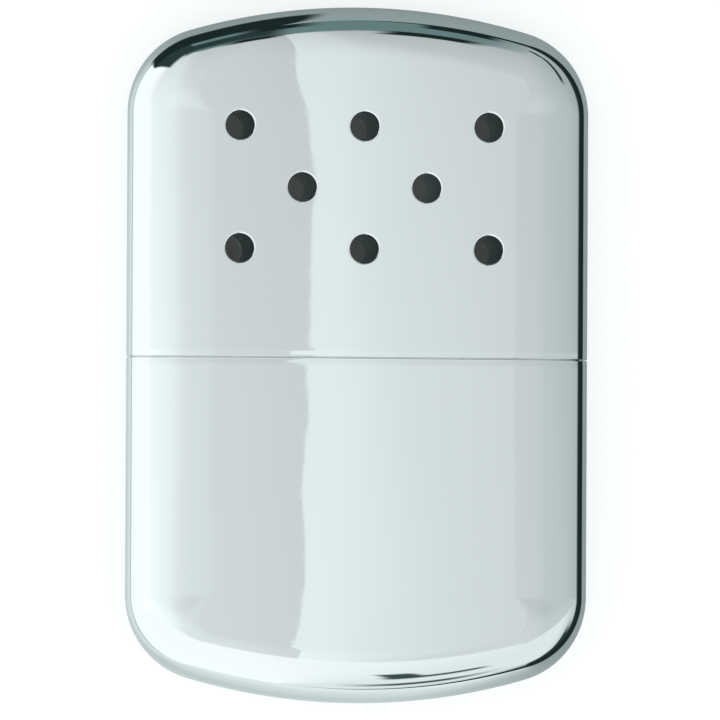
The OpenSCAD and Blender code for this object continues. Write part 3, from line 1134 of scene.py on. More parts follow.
@dataclass(frozen=True)
class FloorPaper:
    """Matt studio paper, lit to white round the warmer. It looks grey in the chrome and keeps a soft shadow.

    Sizes are in millimetres on the floor. Under the warmer the lift is left out, which paints shade there by
    place. Painted light that only the chrome sees makes the paper brighter on the left and near sides and
    fainter towards the far right, and painted dark takes over past set edges behind the lid's left corner
    and off to the right. A pair of places is where a change starts and where it ends.
    """

    name: str = "lit_matt_studio_paper"
    colour: str = "#A2ACAC"
    # Painted dark reflection: the colour that only the chrome sees past set edges.
    dark_reflection_colour: str = "#22302F"
    tooth_pitch: float = 1.5
    lift: float = 0.67
    # Painted shade under the warmer: there the camera lift drops to this faint level.
    under_lift: float = 0.03
    mirror_lift: float = 0.06
    under: tuple[float, float] = (20.0, 36.0)
    under_soft: float = 7.0
    # Painted light seen only in the chrome: the paper is lifted more on the left and near sides, and fades
    # towards the far right.
    left_glow: Stops = (
        (-56.0, 1.05), (-53.5, 0.28), (-48.5, 0.28), (-46.0, 0.75), (-42.0, 0.6), (-35.0, 0.36),
        (-31.0, 0.33))
    near_glow: Stops = ((-120.0, 0.75), (-80.0, 0.6), (-67.0, 0.52), (-61.0, 0.44), (-57.0, 0.36))
    fade_slant: float = 0.6
    fade: tuple[float, float] = (-30.0, 12.0)
    # Where the painted dark reflection starts and ends.
    dark_corner: tuple[float, float] = (12.0, 17.0)
    dark_left: tuple[float, float] = (-2.0, -7.0)
    dark_slant: float = 0.67
    dark_far: tuple[float, float] = (22.0, 27.0)
    dark_right: tuple[float, float] = (59.0, 64.0)

    def make(self) -> bpy.types.Material:
        """Builds the material.

        Returns:
            The new material.
        """
        material, tree = blank_tree(self.name)
        at = add_node(tree, "TexCoord").outputs["Object"]
        tooth = add_node(tree, "TexNoise", {
            "Vector": at, "Scale": 1 / (self.tooth_pitch * MM), "Detail": 2.0})
        relief = add_node(tree, "Bump", {"Height": tooth, "Strength": 0.1, "Distance": 0.02 * MM})
        spot = add_node(tree, "VectorMath", {0: at, "Scale": 1 / MM}, operation="SCALE")
        place = add_node(tree, "SeparateXYZ", {0: spot}).outputs
        path = add_node(tree, "LightPath").outputs
        dark_share = self._painted_dark_mask(tree, spot, place)
        straight = add_node(tree, "Math", {
            0: path["Is Camera Ray"], 1: path["Is Transmission Ray"]}, operation="MAXIMUM")
        shares = [add_node(tree, "Math", {0: ray, 1: share}, operation="MULTIPLY") for ray, share in (
            (straight, self._lifted(tree, place)),
            (path["Is Glossy Ray"], self._mirrored(tree, place, dark_share)))]
        level = add_node(tree, "Math", {0: shares[0], 1: shares[1]}, operation="ADD")
        glow = add_node(tree, "Emission", {"Color": linear("#FFFFFF"), "Strength": level})
        # Painted dark reflection: past these set edges only the chrome sees the paper dark; the camera still
        # sees it white.
        dark_in_chrome = add_node(tree, "Math", {0: dark_share, 1: path["Is Glossy Ray"]}, operation="MULTIPLY")
        shade = add_node(tree, "Mix", {
            "Factor": dark_in_chrome, "A": linear(self.colour), "B": linear(self.dark_reflection_colour)}, data_type="RGBA")
        paper = add_node(tree, "BsdfDiffuse", {"Color": shade.outputs["Result"], "Normal": relief})
        both = add_node(tree, "AddShader", {0: paper, 1: glow})
        add_node(tree, "OutputMaterial", {"Surface": both})
        return material

    def _lifted(self, tree: bpy.types.NodeTree, place: bpy.types.bpy_prop_collection) -> bpy.types.Node:
        """Works out how far the paper is lifted to white where it is seen straight.

        Args:
            tree: The material's node tree.
            place: The parts of the place on the floor.

        Returns:
            The node that gives the lift.
        """
        # Painted shade under the warmer: the lift falls from its full level to a faint one there, by place.
        sides = []
        for part, reach in zip("XY", self.under):
            size = add_node(tree, "Math", {0: place[part]}, operation="ABSOLUTE")
            sides.append(add_node(tree, "MapRange", {
                "Value": size, "From Min": reach, "From Max": reach + self.under_soft,
                "To Min": self.under_lift, "To Max": self.lift}, interpolation_type="SMOOTHSTEP"))
        return add_node(tree, "Math", {0: sides[0], 1: sides[1]}, operation="MAXIMUM")

    def _mirrored(self, tree: bpy.types.NodeTree, place: bpy.types.bpy_prop_collection,
                  dark_share: bpy.types.Node) -> bpy.types.Node:
        """Works out the painted light on the paper where the chrome sees it.

        Args:
            tree: The material's node tree.
            place: The parts of the place on the floor.
            dark_share: 1 where the painted dark reflection takes over, 0 elsewhere.

        Returns:
            The node that gives the lift.
        """
        # Painted light and shade in the chrome: brighter on the left and near sides, fading towards the far
        # right.
        aslant = add_node(tree, "Math", {
            0: place["Y"], 1: self.fade_slant, 2: place["X"]}, operation="MULTIPLY_ADD")
        fading = add_node(tree, "MapRange", {
            "Value": aslant, "From Min": self.fade[0], "From Max": self.fade[1], "To Min": 1.0,
            "To Max": 0.0}, interpolation_type="SMOOTHSTEP")
        glow = add_node(tree, "Math", {
            0: graph(tree, place["X"], self.left_glow), 1: graph(tree, place["Y"], self.near_glow)},
            operation="MAXIMUM")
        glow = add_node(tree, "Math", {0: glow, 1: fading, 2: self.mirror_lift}, operation="MULTIPLY_ADD")
        here = add_node(tree, "Math", {0: 1.0, 1: dark_share}, operation="SUBTRACT")
        return add_node(tree, "Math", {0: glow, 1: here}, operation="MULTIPLY")

    def _painted_dark_mask(self, tree: bpy.types.NodeTree, spot: bpy.types.Node,
                   place: bpy.types.bpy_prop_collection) -> bpy.types.Node:
        """Finds where the chrome sees painted dark: close behind the lid's left corner, and farther off on
        the right.

        Args:
            tree: The material's node tree.
            spot: The place on the floor in millimetres.
            place: Its parts.

        Returns:
            The node that gives 1 where the dark is painted and 0 elsewhere.
        """
        form = BodyForm()
        corner = (form.width / 2 - form.corner_r, form.length / 2 - form.corner_r, 0)
        off = add_node(tree, "VectorMath", {0: spot}, operation="ABSOLUTE")
        for operation, other in (("SUBTRACT", corner), ("MAXIMUM", (0, 0, 0))):
            off = add_node(tree, "VectorMath", {0: off, 1: other}, operation=operation)
        off = add_node(tree, "VectorMath", {0: off}, operation="LENGTH").outputs["Value"]
        turn = add_node(tree, "Math", {
            0: place["X"], 1: self.dark_slant, 2: place["Y"]}, operation="MULTIPLY_ADD")
        behind, left, far, right = (
            add_node(tree, "MapRange", {"Value": value, "From Min": start, "From Max": end},
                     interpolation_type="SMOOTHSTEP")
            for value, (start, end) in (
                (off, [form.corner_r + gap for gap in self.dark_corner]), (place["X"], self.dark_left),
                (turn, self.dark_far), (place["X"], self.dark_right)))
        for part in (left, far):
            behind = add_node(tree, "Math", {0: behind, 1: part}, operation="MULTIPLY")
        return add_node(tree, "Math", {0: behind, 1: right}, operation="MAXIMUM")


# ---------------------------------------------------------------------------------------------------------
# Sub-assemblies
# ---------------------------------------------------------------------------------------------------------


@dataclass(frozen=True)
class Collar:
    """The cap that closes the tank: a plate with the neck's hole, whose skirt is the collar for the lid."""

    plate_y: float = SEAM_Y + 3.6
    foot_y: float = SEAM_Y - 6.0
    inset: float = 0.65
    sheet: float = 0.5
    edge_r: float = 1.6
    foot_r: float = 0.2
    hole: tuple[float, float] = (24.1, 6.5)
    hole_r: float = 0.12
    margin: float = 0.3

    def draft(self, form: BodyForm) -> MeshDraft:
        """Builds the collar as one drawn sheet.

        Args:
            form: The body's form.

        Returns:
            The collar's mesh draft.
        """
        draft = MeshDraft()
        inner, under = self.inset + self.sheet, self.plate_y - self.sheet
        reach = self.inset + self.edge_r + self.margin
        skirt = sweep(draft, body_loop(form), rounded_section([
            (-reach, self.plate_y, 0), (-self.inset, self.plate_y, self.edge_r),
            (-self.inset, self.foot_y, self.foot_r), (-inner, self.foot_y, self.foot_r),
            (-inner, under, self.edge_r - self.sheet), (-reach, under, 0)], 8))
        hole = sweep(draft, obround_loop(*self.hole), rounded_section([
            (self.margin, under, 0), (0, under, self.hole_r), (0, self.plate_y, self.hole_r),
            (self.margin, self.plate_y, 0)]))
        draft.add_flat(skirt[0], [hole[-1]], NO_POINTS, plane=(0, 2))
        draft.add_flat(skirt[-1], [hole[0]], NO_POINTS, plane=(0, 2))
        return draft


@dataclass(frozen=True)
class FillerNeck:
    """The drawn obround tube in the collar's plate, its mouth turned in and its foot flanged."""

    foot_y: float = SEAM_Y + 2.65
    mouth_y: float = SEAM_Y + 7.0
    width: float = 24.0
    thickness: float = 6.4
    sheet: float = 0.4
    lip_w: float = 0.9
    flange_w: float = 1.4

    def draft(self) -> MeshDraft:
        """Builds the neck.

        Returns:
            The neck's mesh draft.
        """
        draft = MeshDraft()
        inner, lip, under = -self.sheet, -self.sheet - self.lip_w, self.mouth_y - self.sheet
        flange_y = self.foot_y + self.sheet
        sweep(draft, obround_loop(self.width, self.thickness, 0.3), rounded_section([
            (inner / 2, self.foot_y, 0), (inner, self.foot_y, 0.1), (inner, under, 0.05), (lip, under, 0.14),
            (lip, self.mouth_y, 0.14), (0, self.mouth_y, 0.45), (0, flange_y, 0.1),
            (self.flange_w, flange_y, 0.12), (self.flange_w, self.foot_y, 0.12),
            (inner / 2, self.foot_y, 0)]))
        return draft


@dataclass(frozen=True)
class SlottedCage:
    """The burner's vaulted cage: a wall crimped in at its foot, a barrel of slots, and ball ends."""

    axis_y: float = SEAM_Y + 7.6
    foot_y: float = SEAM_Y + 6.8
    width: float = 30.0
    thickness: float = 10.0
    sheet: float = 0.35
    crimp_w: float = 1.0
    slots: int = 7
    slot_w: float = 1.8
    bar_w: float = 0.9
    rail_h: float = 1.2
    edge_r: float = 0.1
    inner_edge_r: float = 0.06
    edge_steps: int = 4
    slot_clear: float = 0.12
    pitch: float = 0.33

    @property
    def r(self) -> float:
        """Outer radius of the vault."""
        return self.thickness / 2

    @property
    def half_run(self) -> float:
        """Half the length of the barrel."""
        return self.width / 2 - self.r

    def draft(self) -> MeshDraft:
        """Builds the cage.

        Returns:
            The cage's mesh draft.
        """
        draft = MeshDraft()
        wall, crimp, top = -self.sheet, -self.crimp_w, self.foot_y + self.sheet
        sweep(draft, obround_loop(self.width, self.thickness, self.pitch), rounded_section([
            (0, self.axis_y, 0), (0, self.foot_y, 0.3), (crimp, self.foot_y, 0.12), (crimp, top, 0.12),
            (wall, top, 0.05), (wall, self.axis_y, 0)]))
        rows = round(math.pi * self.r / self.pitch)
        for depth, turn in ((0.0, 1.0), (self.sheet, -1.0)):
            self._balls(draft, depth, turn, rows)
        self._barrel(draft, rows)
        return draft

    def _balls(self, draft: MeshDraft, depth: float, turn: float, rows: int) -> None:
        """Builds one skin of the two ball ends.

        Args:
            draft: The cage's mesh draft.
            depth: How deep the skin lies in the sheet.
            turn: 1 for the outer skin and -1 for the inner one.
            rows: Steps round the barrel.
        """
        rise = np.linspace(0, math.pi / 2, rows // 2 + 1)
        swing = np.linspace(-math.pi / 2, math.pi / 2, rows + 1)
        rise, swing = np.meshgrid(rise, swing, indexing="ij")
        for side in (-1.0, 1.0):
            ahead = side * np.cos(rise) * np.cos(swing)
            out = np.stack([ahead, np.sin(rise), np.cos(rise) * np.sin(swing)], axis=-1)
            centre = np.array([side * self.half_run, self.axis_y, BodyForm().mid])
            draft.add_grid(draft.add_points(centre + (self.r - depth) * out, turn * out))

    def _bend(self, flat: np.ndarray, depth: float) -> tuple[np.ndarray, np.ndarray, np.ndarray]:
        """Bends a flat blank over the barrel.

        Args:
            flat: Places across the blank: along X and round the barrel's skin.
            depth: How deep in the sheet the places lie.

        Returns:
            Places, outward directions, and directions round the barrel.
        """
        angle = flat[..., 1] / self.r
        none = np.zeros_like(angle)
        out = np.stack([none, np.sin(angle), np.cos(angle)], axis=-1)
        around = np.stack([none, np.cos(angle), -np.sin(angle)], axis=-1)
        axis = np.stack([flat[..., 0], none + self.axis_y, none + BodyForm().mid], axis=-1)
        return axis + (self.r - depth) * out, out, around

    def _slot(self, number: int, grow: float) -> tuple[np.ndarray, np.ndarray]:
        """Draws a slot in the flat blank, with round ends.

        Args:
            number: Which slot, from the left.
            grow: How far the outline lies outside the slot's own.

        Returns:
            The outline, and the directions into the metal.
        """
        half, start = self.slot_w / 2, self.r * math.asin(self.rail_h / self.r)
        x = (number - (self.slots - 1) / 2) * (self.slot_w + self.bar_w)
        low, high = start + half, math.pi * self.r - start - half
        turn = np.linspace(0, math.pi, 13)
        end = np.stack([np.cos(turn), np.sin(turn)], axis=1)
        side = np.linspace(low, high, round((high - low) / self.pitch) + 1)[1:-1]
        right = np.stack([np.full_like(side, x), side], axis=1)
        at = np.concatenate([right, 0 * end + [x, high], right[::-1], 0 * end + [x, low]])
        edgewise = np.tile([1.0, 0.0], (len(side), 1))
        out = np.concatenate([edgewise, end, -edgewise, -end])
        return at + (half + grow) * out, out

    def _barrel(self, draft: MeshDraft, rows: int) -> None:
        """Builds both skins of the barrel and the walls of its slots.

        Args:
            draft: The cage's mesh draft.
            rows: Steps round the barrel.
        """
        length = math.pi * self.r
        s = np.linspace(0, length, rows + 1)
        x = np.linspace(-self.half_run, self.half_run, round(2 * self.half_run / self.pitch) + 1)
        rim = np.concatenate([
            np.stack([x[:-1], 0 * x[:-1]], axis=1), np.stack([0 * s[:-1] + x[-1], s[:-1]], axis=1),
            np.stack([x[:0:-1], 0 * x[:0:-1] + length], axis=1),
            np.stack([0 * s[:0:-1] + x[0], s[:0:-1]], axis=1)])
        grid = np.stack(np.meshgrid(x[1:-1], s[1:-1]), axis=-1).reshape(-1, 2)
        rings = {}
        for depth, turn, grow in ((0.0, 1.0, self.edge_r), (self.sheet, -1.0, self.inner_edge_r)):
            keep = np.ones(len(grid), bool)
            holes = []
            for number in range(self.slots):
                keep &= ~inside_outline(grid, self._slot(number, grow + self.slot_clear)[0])
                flat = self._slot(number, grow)[0]
                at, out, _ = self._bend(flat, depth)
                rings[number, depth > 0] = draft.add_points(at, turn * out)
                holes.append((rings[number, depth > 0], flat))
            at, out, _ = self._bend(rim, depth)
            edge = draft.add_points(at, turn * out)
            at, out, _ = self._bend(grid[keep], depth)
            inside = draft.add_points(at, turn * out)
            draft.add_blank(edge, rim, holes, inside, grid[keep])
        section = pierced_section(
            self.edge_r, self.inner_edge_r, self.sheet, self.edge_steps, self.edge_steps)
        for number in range(self.slots):
            loops = [rings[number, False]]
            for grow, depth, t in section:
                flat, way = self._slot(number, grow)
                at, out, around = self._bend(flat, depth)
                into = way[:, :1] * [1.0, 0.0, 0.0] + way[:, 1:] * around
                loops.append(draft.add_points(at, out * math.cos(t) - into * math.sin(t)))
            loops.append(rings[number, True])
            draft.add_grid(np.array(loops), closed=True)


@dataclass(frozen=True)
class Vault:
    """A long dome like the cage's, for what lies under it: places by length along it and angle round it."""

    r: float
    axis_y: float = SEAM_Y + 7.6
    half_run: float = 10.0

    def at(self, along: np.ndarray, angle: np.ndarray, lift: np.ndarray | float = 0.0) -> np.ndarray:
        """Finds places on the dome.

        Args:
            along: Length from the middle, which goes on over the ball ends.
            angle: Angle round the barrel's axis, 0 towards the front and a quarter turn at the crown.
            lift: Distance over the dome.

        Returns:
            The places.
        """
        along, angle = np.broadcast_arrays(along, angle)
        x = np.clip(along, -self.half_run, self.half_run)
        swing = (along - x) / self.r
        r = self.r + lift
        return np.stack([x + r * np.sin(swing), self.axis_y + r * np.cos(swing) * np.sin(angle),
                         BodyForm().mid + r * np.cos(swing) * np.cos(angle)], axis=-1)

    @property
    def reach(self) -> float:
        """Length from the middle to the tip of a ball end."""
        return self.half_run + self.r * math.pi / 2


@dataclass(frozen=True)
class WovenGauze:
    """Plain-woven wire gauze over the pad, each wire passing over and under the ones across it."""

    vault: Vault = Vault(r=4.525)
    foot_y: float = SEAM_Y + 7.92
    wire_r: float = 0.04
    wave: float = 0.032
    pitch: float = 0.6
    short_end: float = 0.6

    def build(self, name: str) -> bpy.types.Object:
        """Builds the gauze as one curve object with a round section.

        Args:
            name: The object's name.

        Returns:
            The new object, linked to the scene.
        """
        data = bpy.data.curves.new(name, "CURVE")
        data.dimensions, data.bevel_depth, data.bevel_resolution = "3D", self.wire_r * MM, 1
        step = self.pitch / 4
        turns = round(math.pi * self.vault.r / self.pitch)
        for number in range(1, turns):
            angle = math.pi * number / turns
            stop = self.vault.reach if number % 2 else self.vault.half_run + self.short_end * self.vault.r
            along = np.arange(-stop, stop + step / 2, step)
            self._wire(data, along, np.full_like(along, angle), along / self.pitch + number)
        ends = int(self.vault.reach / self.pitch)
        for number in range(-ends, ends + 1):
            angle = np.linspace(0, math.pi, 4 * turns + 1)
            place = np.full_like(angle, number * self.pitch)
            self._wire(data, place, angle, angle / math.pi * turns + number + 1)
        return add_object(name, data)

    def _wire(self, data: bpy.types.Curve, along: np.ndarray, angle: np.ndarray, phase: np.ndarray) -> None:
        """Adds one wire to the curve, as far as it lies over the foot of the gauze.

        Args:
            data: The gauze's curve.
            along: Lengths from the middle.
            angle: Angles round the dome.
            phase: How far the wire has got in its weave, in wires crossed.
        """
        places = self.vault.at(along, angle, self.wave * np.cos(math.pi * phase))
        places = places[places[:, 1] > self.foot_y]
        if len(places) < 3:
            return
        wire = data.splines.new("POLY")
        wire.points.add(len(places) - 1)
        wire.points.foreach_set("co", np.column_stack([places * MM, np.ones(len(places))]).ravel())


@dataclass(frozen=True)
class FibrePad:
    """The needled pad under the gauze: a domed tangle that is full at the crown and flat on its plate."""

    vault: Vault = Vault(r=4.12)
    foot_y: float = SEAM_Y + 8.17
    lumps: float = 0.09
    lump_pitch: float = 1.1
    foot_lumps: float = 0.02
    foot_lump_pitch: float = 0.8
    seed: float = 4.3
    rows: int = 150
    columns: int = 90

    def draft(self) -> MeshDraft:
        """Builds the pad.

        Returns:
            The pad's mesh draft.
        """
        draft = MeshDraft()
        reach = self.vault.reach - 1e-3
        along, angle = np.meshgrid(np.linspace(-reach, reach, self.rows),
                                   np.linspace(0, 2 * math.pi, self.columns), indexing="ij")
        places = self.vault.at(along, angle)
        sink = uneven(places, self.lump_pitch, self.seed) * self.lumps
        places = self.vault.at(along, angle, -self.lumps + sink)
        floor = self.foot_y + self.foot_lumps * uneven(places, self.foot_lump_pitch, self.seed)
        places[..., 1] = np.maximum(places[..., 1], floor)
        normals = surface_normals(places)
        draft.add_grid(draft.add_points(places, -normals))
        return draft


@dataclass(frozen=True)
class TankWadding:
    """Cotton stuffed into the tank: it follows the inside, bulges unevenly and thins under the collar."""

    low_inset: float = 0.85
    high_inset: float = 1.5
    waist_y: float = SEAM_Y - 6.3
    top_y: float = SEAM_Y + 2.3
    lumps: float = 0.35
    lump_pitch: float = 5.0
    seed: float = 9.1
    rows: int = 24
    columns: int = 29
    pitch: float = 1.5
    rim_clear: float = 0.5

    def draft(self, form: BodyForm) -> MeshDraft:
        """Builds the wadding.

        Args:
            form: The body's form.

        Returns:
            The wadding's mesh draft, with its top towards +Y.
        """
        draft = MeshDraft()
        plain = FaceCrown(seed=0, ripple=0.0)
        places = form.rim(np.linspace(-self.top_y, 1 - self.waist_y, self.rows), plain, plain)
        places, normals = self._sunk(places, surface_normals(places))
        rim = draft.add_points(places, normals)
        draft.add_grid(rim)
        mouths = []
        for column, side in ((0, 1.0), (-1, -1.0)):
            edge = places[:, column, :2]
            across = np.linspace(edge[0, 0], edge[-1, 0], self.columns)[1:-1][::-1]
            mouth = np.stack([across, np.full_like(across, edge[0, 1])], axis=1)
            along = np.arange(edge[0, 1] + self.pitch, edge[:, 1].max(), self.pitch)
            grid = np.stack(np.meshgrid(across, along), axis=-1).reshape(-1, 2)
            far = np.linalg.norm(grid[:, None] - edge[None], axis=2).min(axis=1) > self.rim_clear
            rows = []
            for flat in (mouth, grid[inside_outline(grid, edge) & far]):
                level = np.full(len(flat), form.mid + side * form.mid)
                at = np.column_stack([flat, level])
                rows.append(draft.add_points(*self._sunk(at, np.tile([0, 0, side], (len(at), 1)))))
            mouths.append(rows[0])
            draft.add_flat(np.concatenate([rim[:, column], rows[0]]), [], rows[1])
        top = np.concatenate([mouths[0], rim[0], mouths[1][::-1], rim[-1][::-1]])
        draft.add_flat(top, [], NO_POINTS, plane=(0, 2))
        return draft.turned_over()

    def _sunk(self, places: np.ndarray, normals: np.ndarray) -> tuple[np.ndarray, np.ndarray]:
        """Sinks places below the body's skin, by an uneven depth.

        Args:
            places: Places on the skin.
            normals: Normals there.

        Returns:
            The sunk places, and the same normals.
        """
        share = smooth_step(places[..., 1], -self.waist_y - 0.5, -self.waist_y + 0.5)
        depth = self.high_inset + (self.low_inset - self.high_inset) * share
        depth = depth + self.lumps * uneven(places, self.lump_pitch, self.seed)
        return places - normals * depth[..., None], normals


@dataclass(frozen=True)
class NeckWick:
    """Felt plug in the neck, cut to an obround and a little crowned by its own spring."""

    foot_y: float = SEAM_Y + 2.37
    top_y: float = SEAM_Y + 6.28
    width: float = 22.6
    thickness: float = 5.0

    def draft(self) -> MeshDraft:
        """Builds the wick.

        Returns:
            The wick's mesh draft.
        """
        draft = MeshDraft()
        middle = -self.thickness / 2 + 0.3
        rows = sweep(draft, obround_loop(self.width, self.thickness, 0.25), rounded_section([
            (middle, self.top_y, 0), (-1.1, self.top_y - 0.02, 3.0), (0, self.top_y - 0.22, 0.5),
            (0, self.foot_y, 0.4), (middle, self.foot_y, 0)], 6))
        for row in (rows[0], rows[-1]):
            draft.add_flat(row, [], NO_POINTS, plane=(0, 2))
        return draft


def dress(piece: bpy.types.Object, body: str, slot: str, *finishes: bpy.types.Material) -> bpy.types.Object:
    """Gives a piece its materials and its body.

    Args:
        piece: The object.
        body: The CAD body that it rides on.
        slot: The record's material slot. Not used.
        *finishes: Its materials, in the order of their numbers.

    Returns:
        The same object.
    """
    for finish in finishes:
        piece.data.materials.append(finish)
    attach(piece, body)
    return piece


def redress(node: str, finish: bpy.types.Material) -> bpy.types.Object:
    """Gives a CAD node whose shape is kept a better material.

    Args:
        node: The node's name.
        finish: The material.

    Returns:
        The node's object.
    """
    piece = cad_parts[node]
    for place in piece.material_slots:
        place.material = finish
    return piece


@dataclass
class LidAssembly:
    """The vented lid that slips over the tank's collar."""

    form: BodyForm = field(default_factory=BodyForm)
    mouth_y: float = SEAM_Y + SEAM_GAP / 2

    def build(self) -> list[bpy.types.Object]:
        """Builds and dresses the lid.

        Returns:
            The pieces made.
        """
        shell = DrawnShell(self.form, MouthEdge(), self.mouth_y, FaceCrown(seed=3), FaceCrown(seed=4),
                           VentPattern())
        lid = dress(shell.draft().to_object("lid_drawn_shell"), "lid", "polished_chrome",
                    BrightChromePlate().make(), DrawnSheetInside().make())
        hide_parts("lid_shell")
        return [lid]


@dataclass
class TankAssembly:
    """The drawn tank with its collar, filler neck, wadding and wick."""

    form: BodyForm = field(default_factory=BodyForm)
    mouth_y: float = SEAM_GAP / 2 - SEAM_Y

    def build(self) -> list[bpy.types.Object]:
        """Builds and dresses the tank.

        Returns:
            The pieces made.
        """
        shell = DrawnShell(self.form, MouthEdge(), self.mouth_y, FaceCrown(seed=11), FaceCrown(seed=12))
        finishes = [bpy.data.materials[kind.name] for kind in (BrightChromePlate, DrawnSheetInside)]
        tank = dress(shell.draft().turned_over().to_object("tank_drawn_shell"), "tank", "polished_chrome",
                     *finishes)
        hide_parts("tank_shell")
        collar = dress(Collar().draft(self.form).to_object("collar_drawn_cap"), "tank", "collar_chrome",
                       SlipMarkedChrome().make())
        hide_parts("tank_collar")
        neck = dress(FillerNeck().draft().to_object("neck_flanged_tube"), "tank", "nickel_plate",
                     SatinNickelPlate().make())
        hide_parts("filler_neck")
        cotton = TangledFibre("loose_cotton_wadding", "#F1EDE3", "#D8D0BF", 0.5, 0.12, 0.5)
        wadding = dress(TankWadding().draft(self.form).to_object("wadding_in_tank"), "tank",
                        "cotton_wadding", cotton.make())
        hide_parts("fuel_wadding")
        felt = TangledFibre("dense_wool_felt", "#DED4BF", "#BFB39A", 0.18, 0.04, 0.4)
        wick = dress(NeckWick().draft().to_object("wick_felt_plug"), "tank", "wool_felt", felt.make())
        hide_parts("neck_wick")
        return [tank, collar, neck, wadding, wick]


@dataclass
class BurnerAssembly:
    """The burner that lifts off the neck: sleeve, plate, pad, gauze and cage."""

    def build(self) -> list[bpy.types.Object]:
        """Builds and dresses the burner.

        Returns:
            The pieces made and the CAD nodes kept.
        """
        tinted = HeatTintedStainless().make()
        cage = dress(SlottedCage().draft().to_object("cage_slotted_vault"), "burner", "heat_tinted_steel",
                     tinted)
        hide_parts("burner_cage")
        gauze = dress(WovenGauze().build("gauze_woven_wire"), "burner", "wire_gauze", ScorchedWire().make())
        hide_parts("catalyst_gauze")
        glass = TangledFibre("platinised_glass_fibre", "#8B8A8C", "#3D3C40", 0.22, 0.08, 0.15)
        pad = dress(FibrePad().draft().to_object("pad_needled_fibre"), "burner", "glass_fibre", glass.make())
        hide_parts("catalyst_pad")
        kept = [redress("burner_skirt", tinted), redress("diffuser_plate", PunchedStainless().make())]
        return kept + [cage, gauze, pad]


# ---------------------------------------------------------------------------------------------------------
# Studio
# ---------------------------------------------------------------------------------------------------------


@dataclass(frozen=True)
class RoomCard:
    """A soft-edged part of the room, which the chrome shows as a pale or a dark field.

    Across and up are angles from a low to a high edge, with how soft both edges are, in degrees. A card on a
    wall is placed by the compass and by its height over the horizon. A card overhead is placed by how far it
    leans to the right and to the lid's end.
    """

    name: str
    colour: str
    across: tuple[float, float, float]
    up: tuple[float, float, float]
    heading: float | None = None


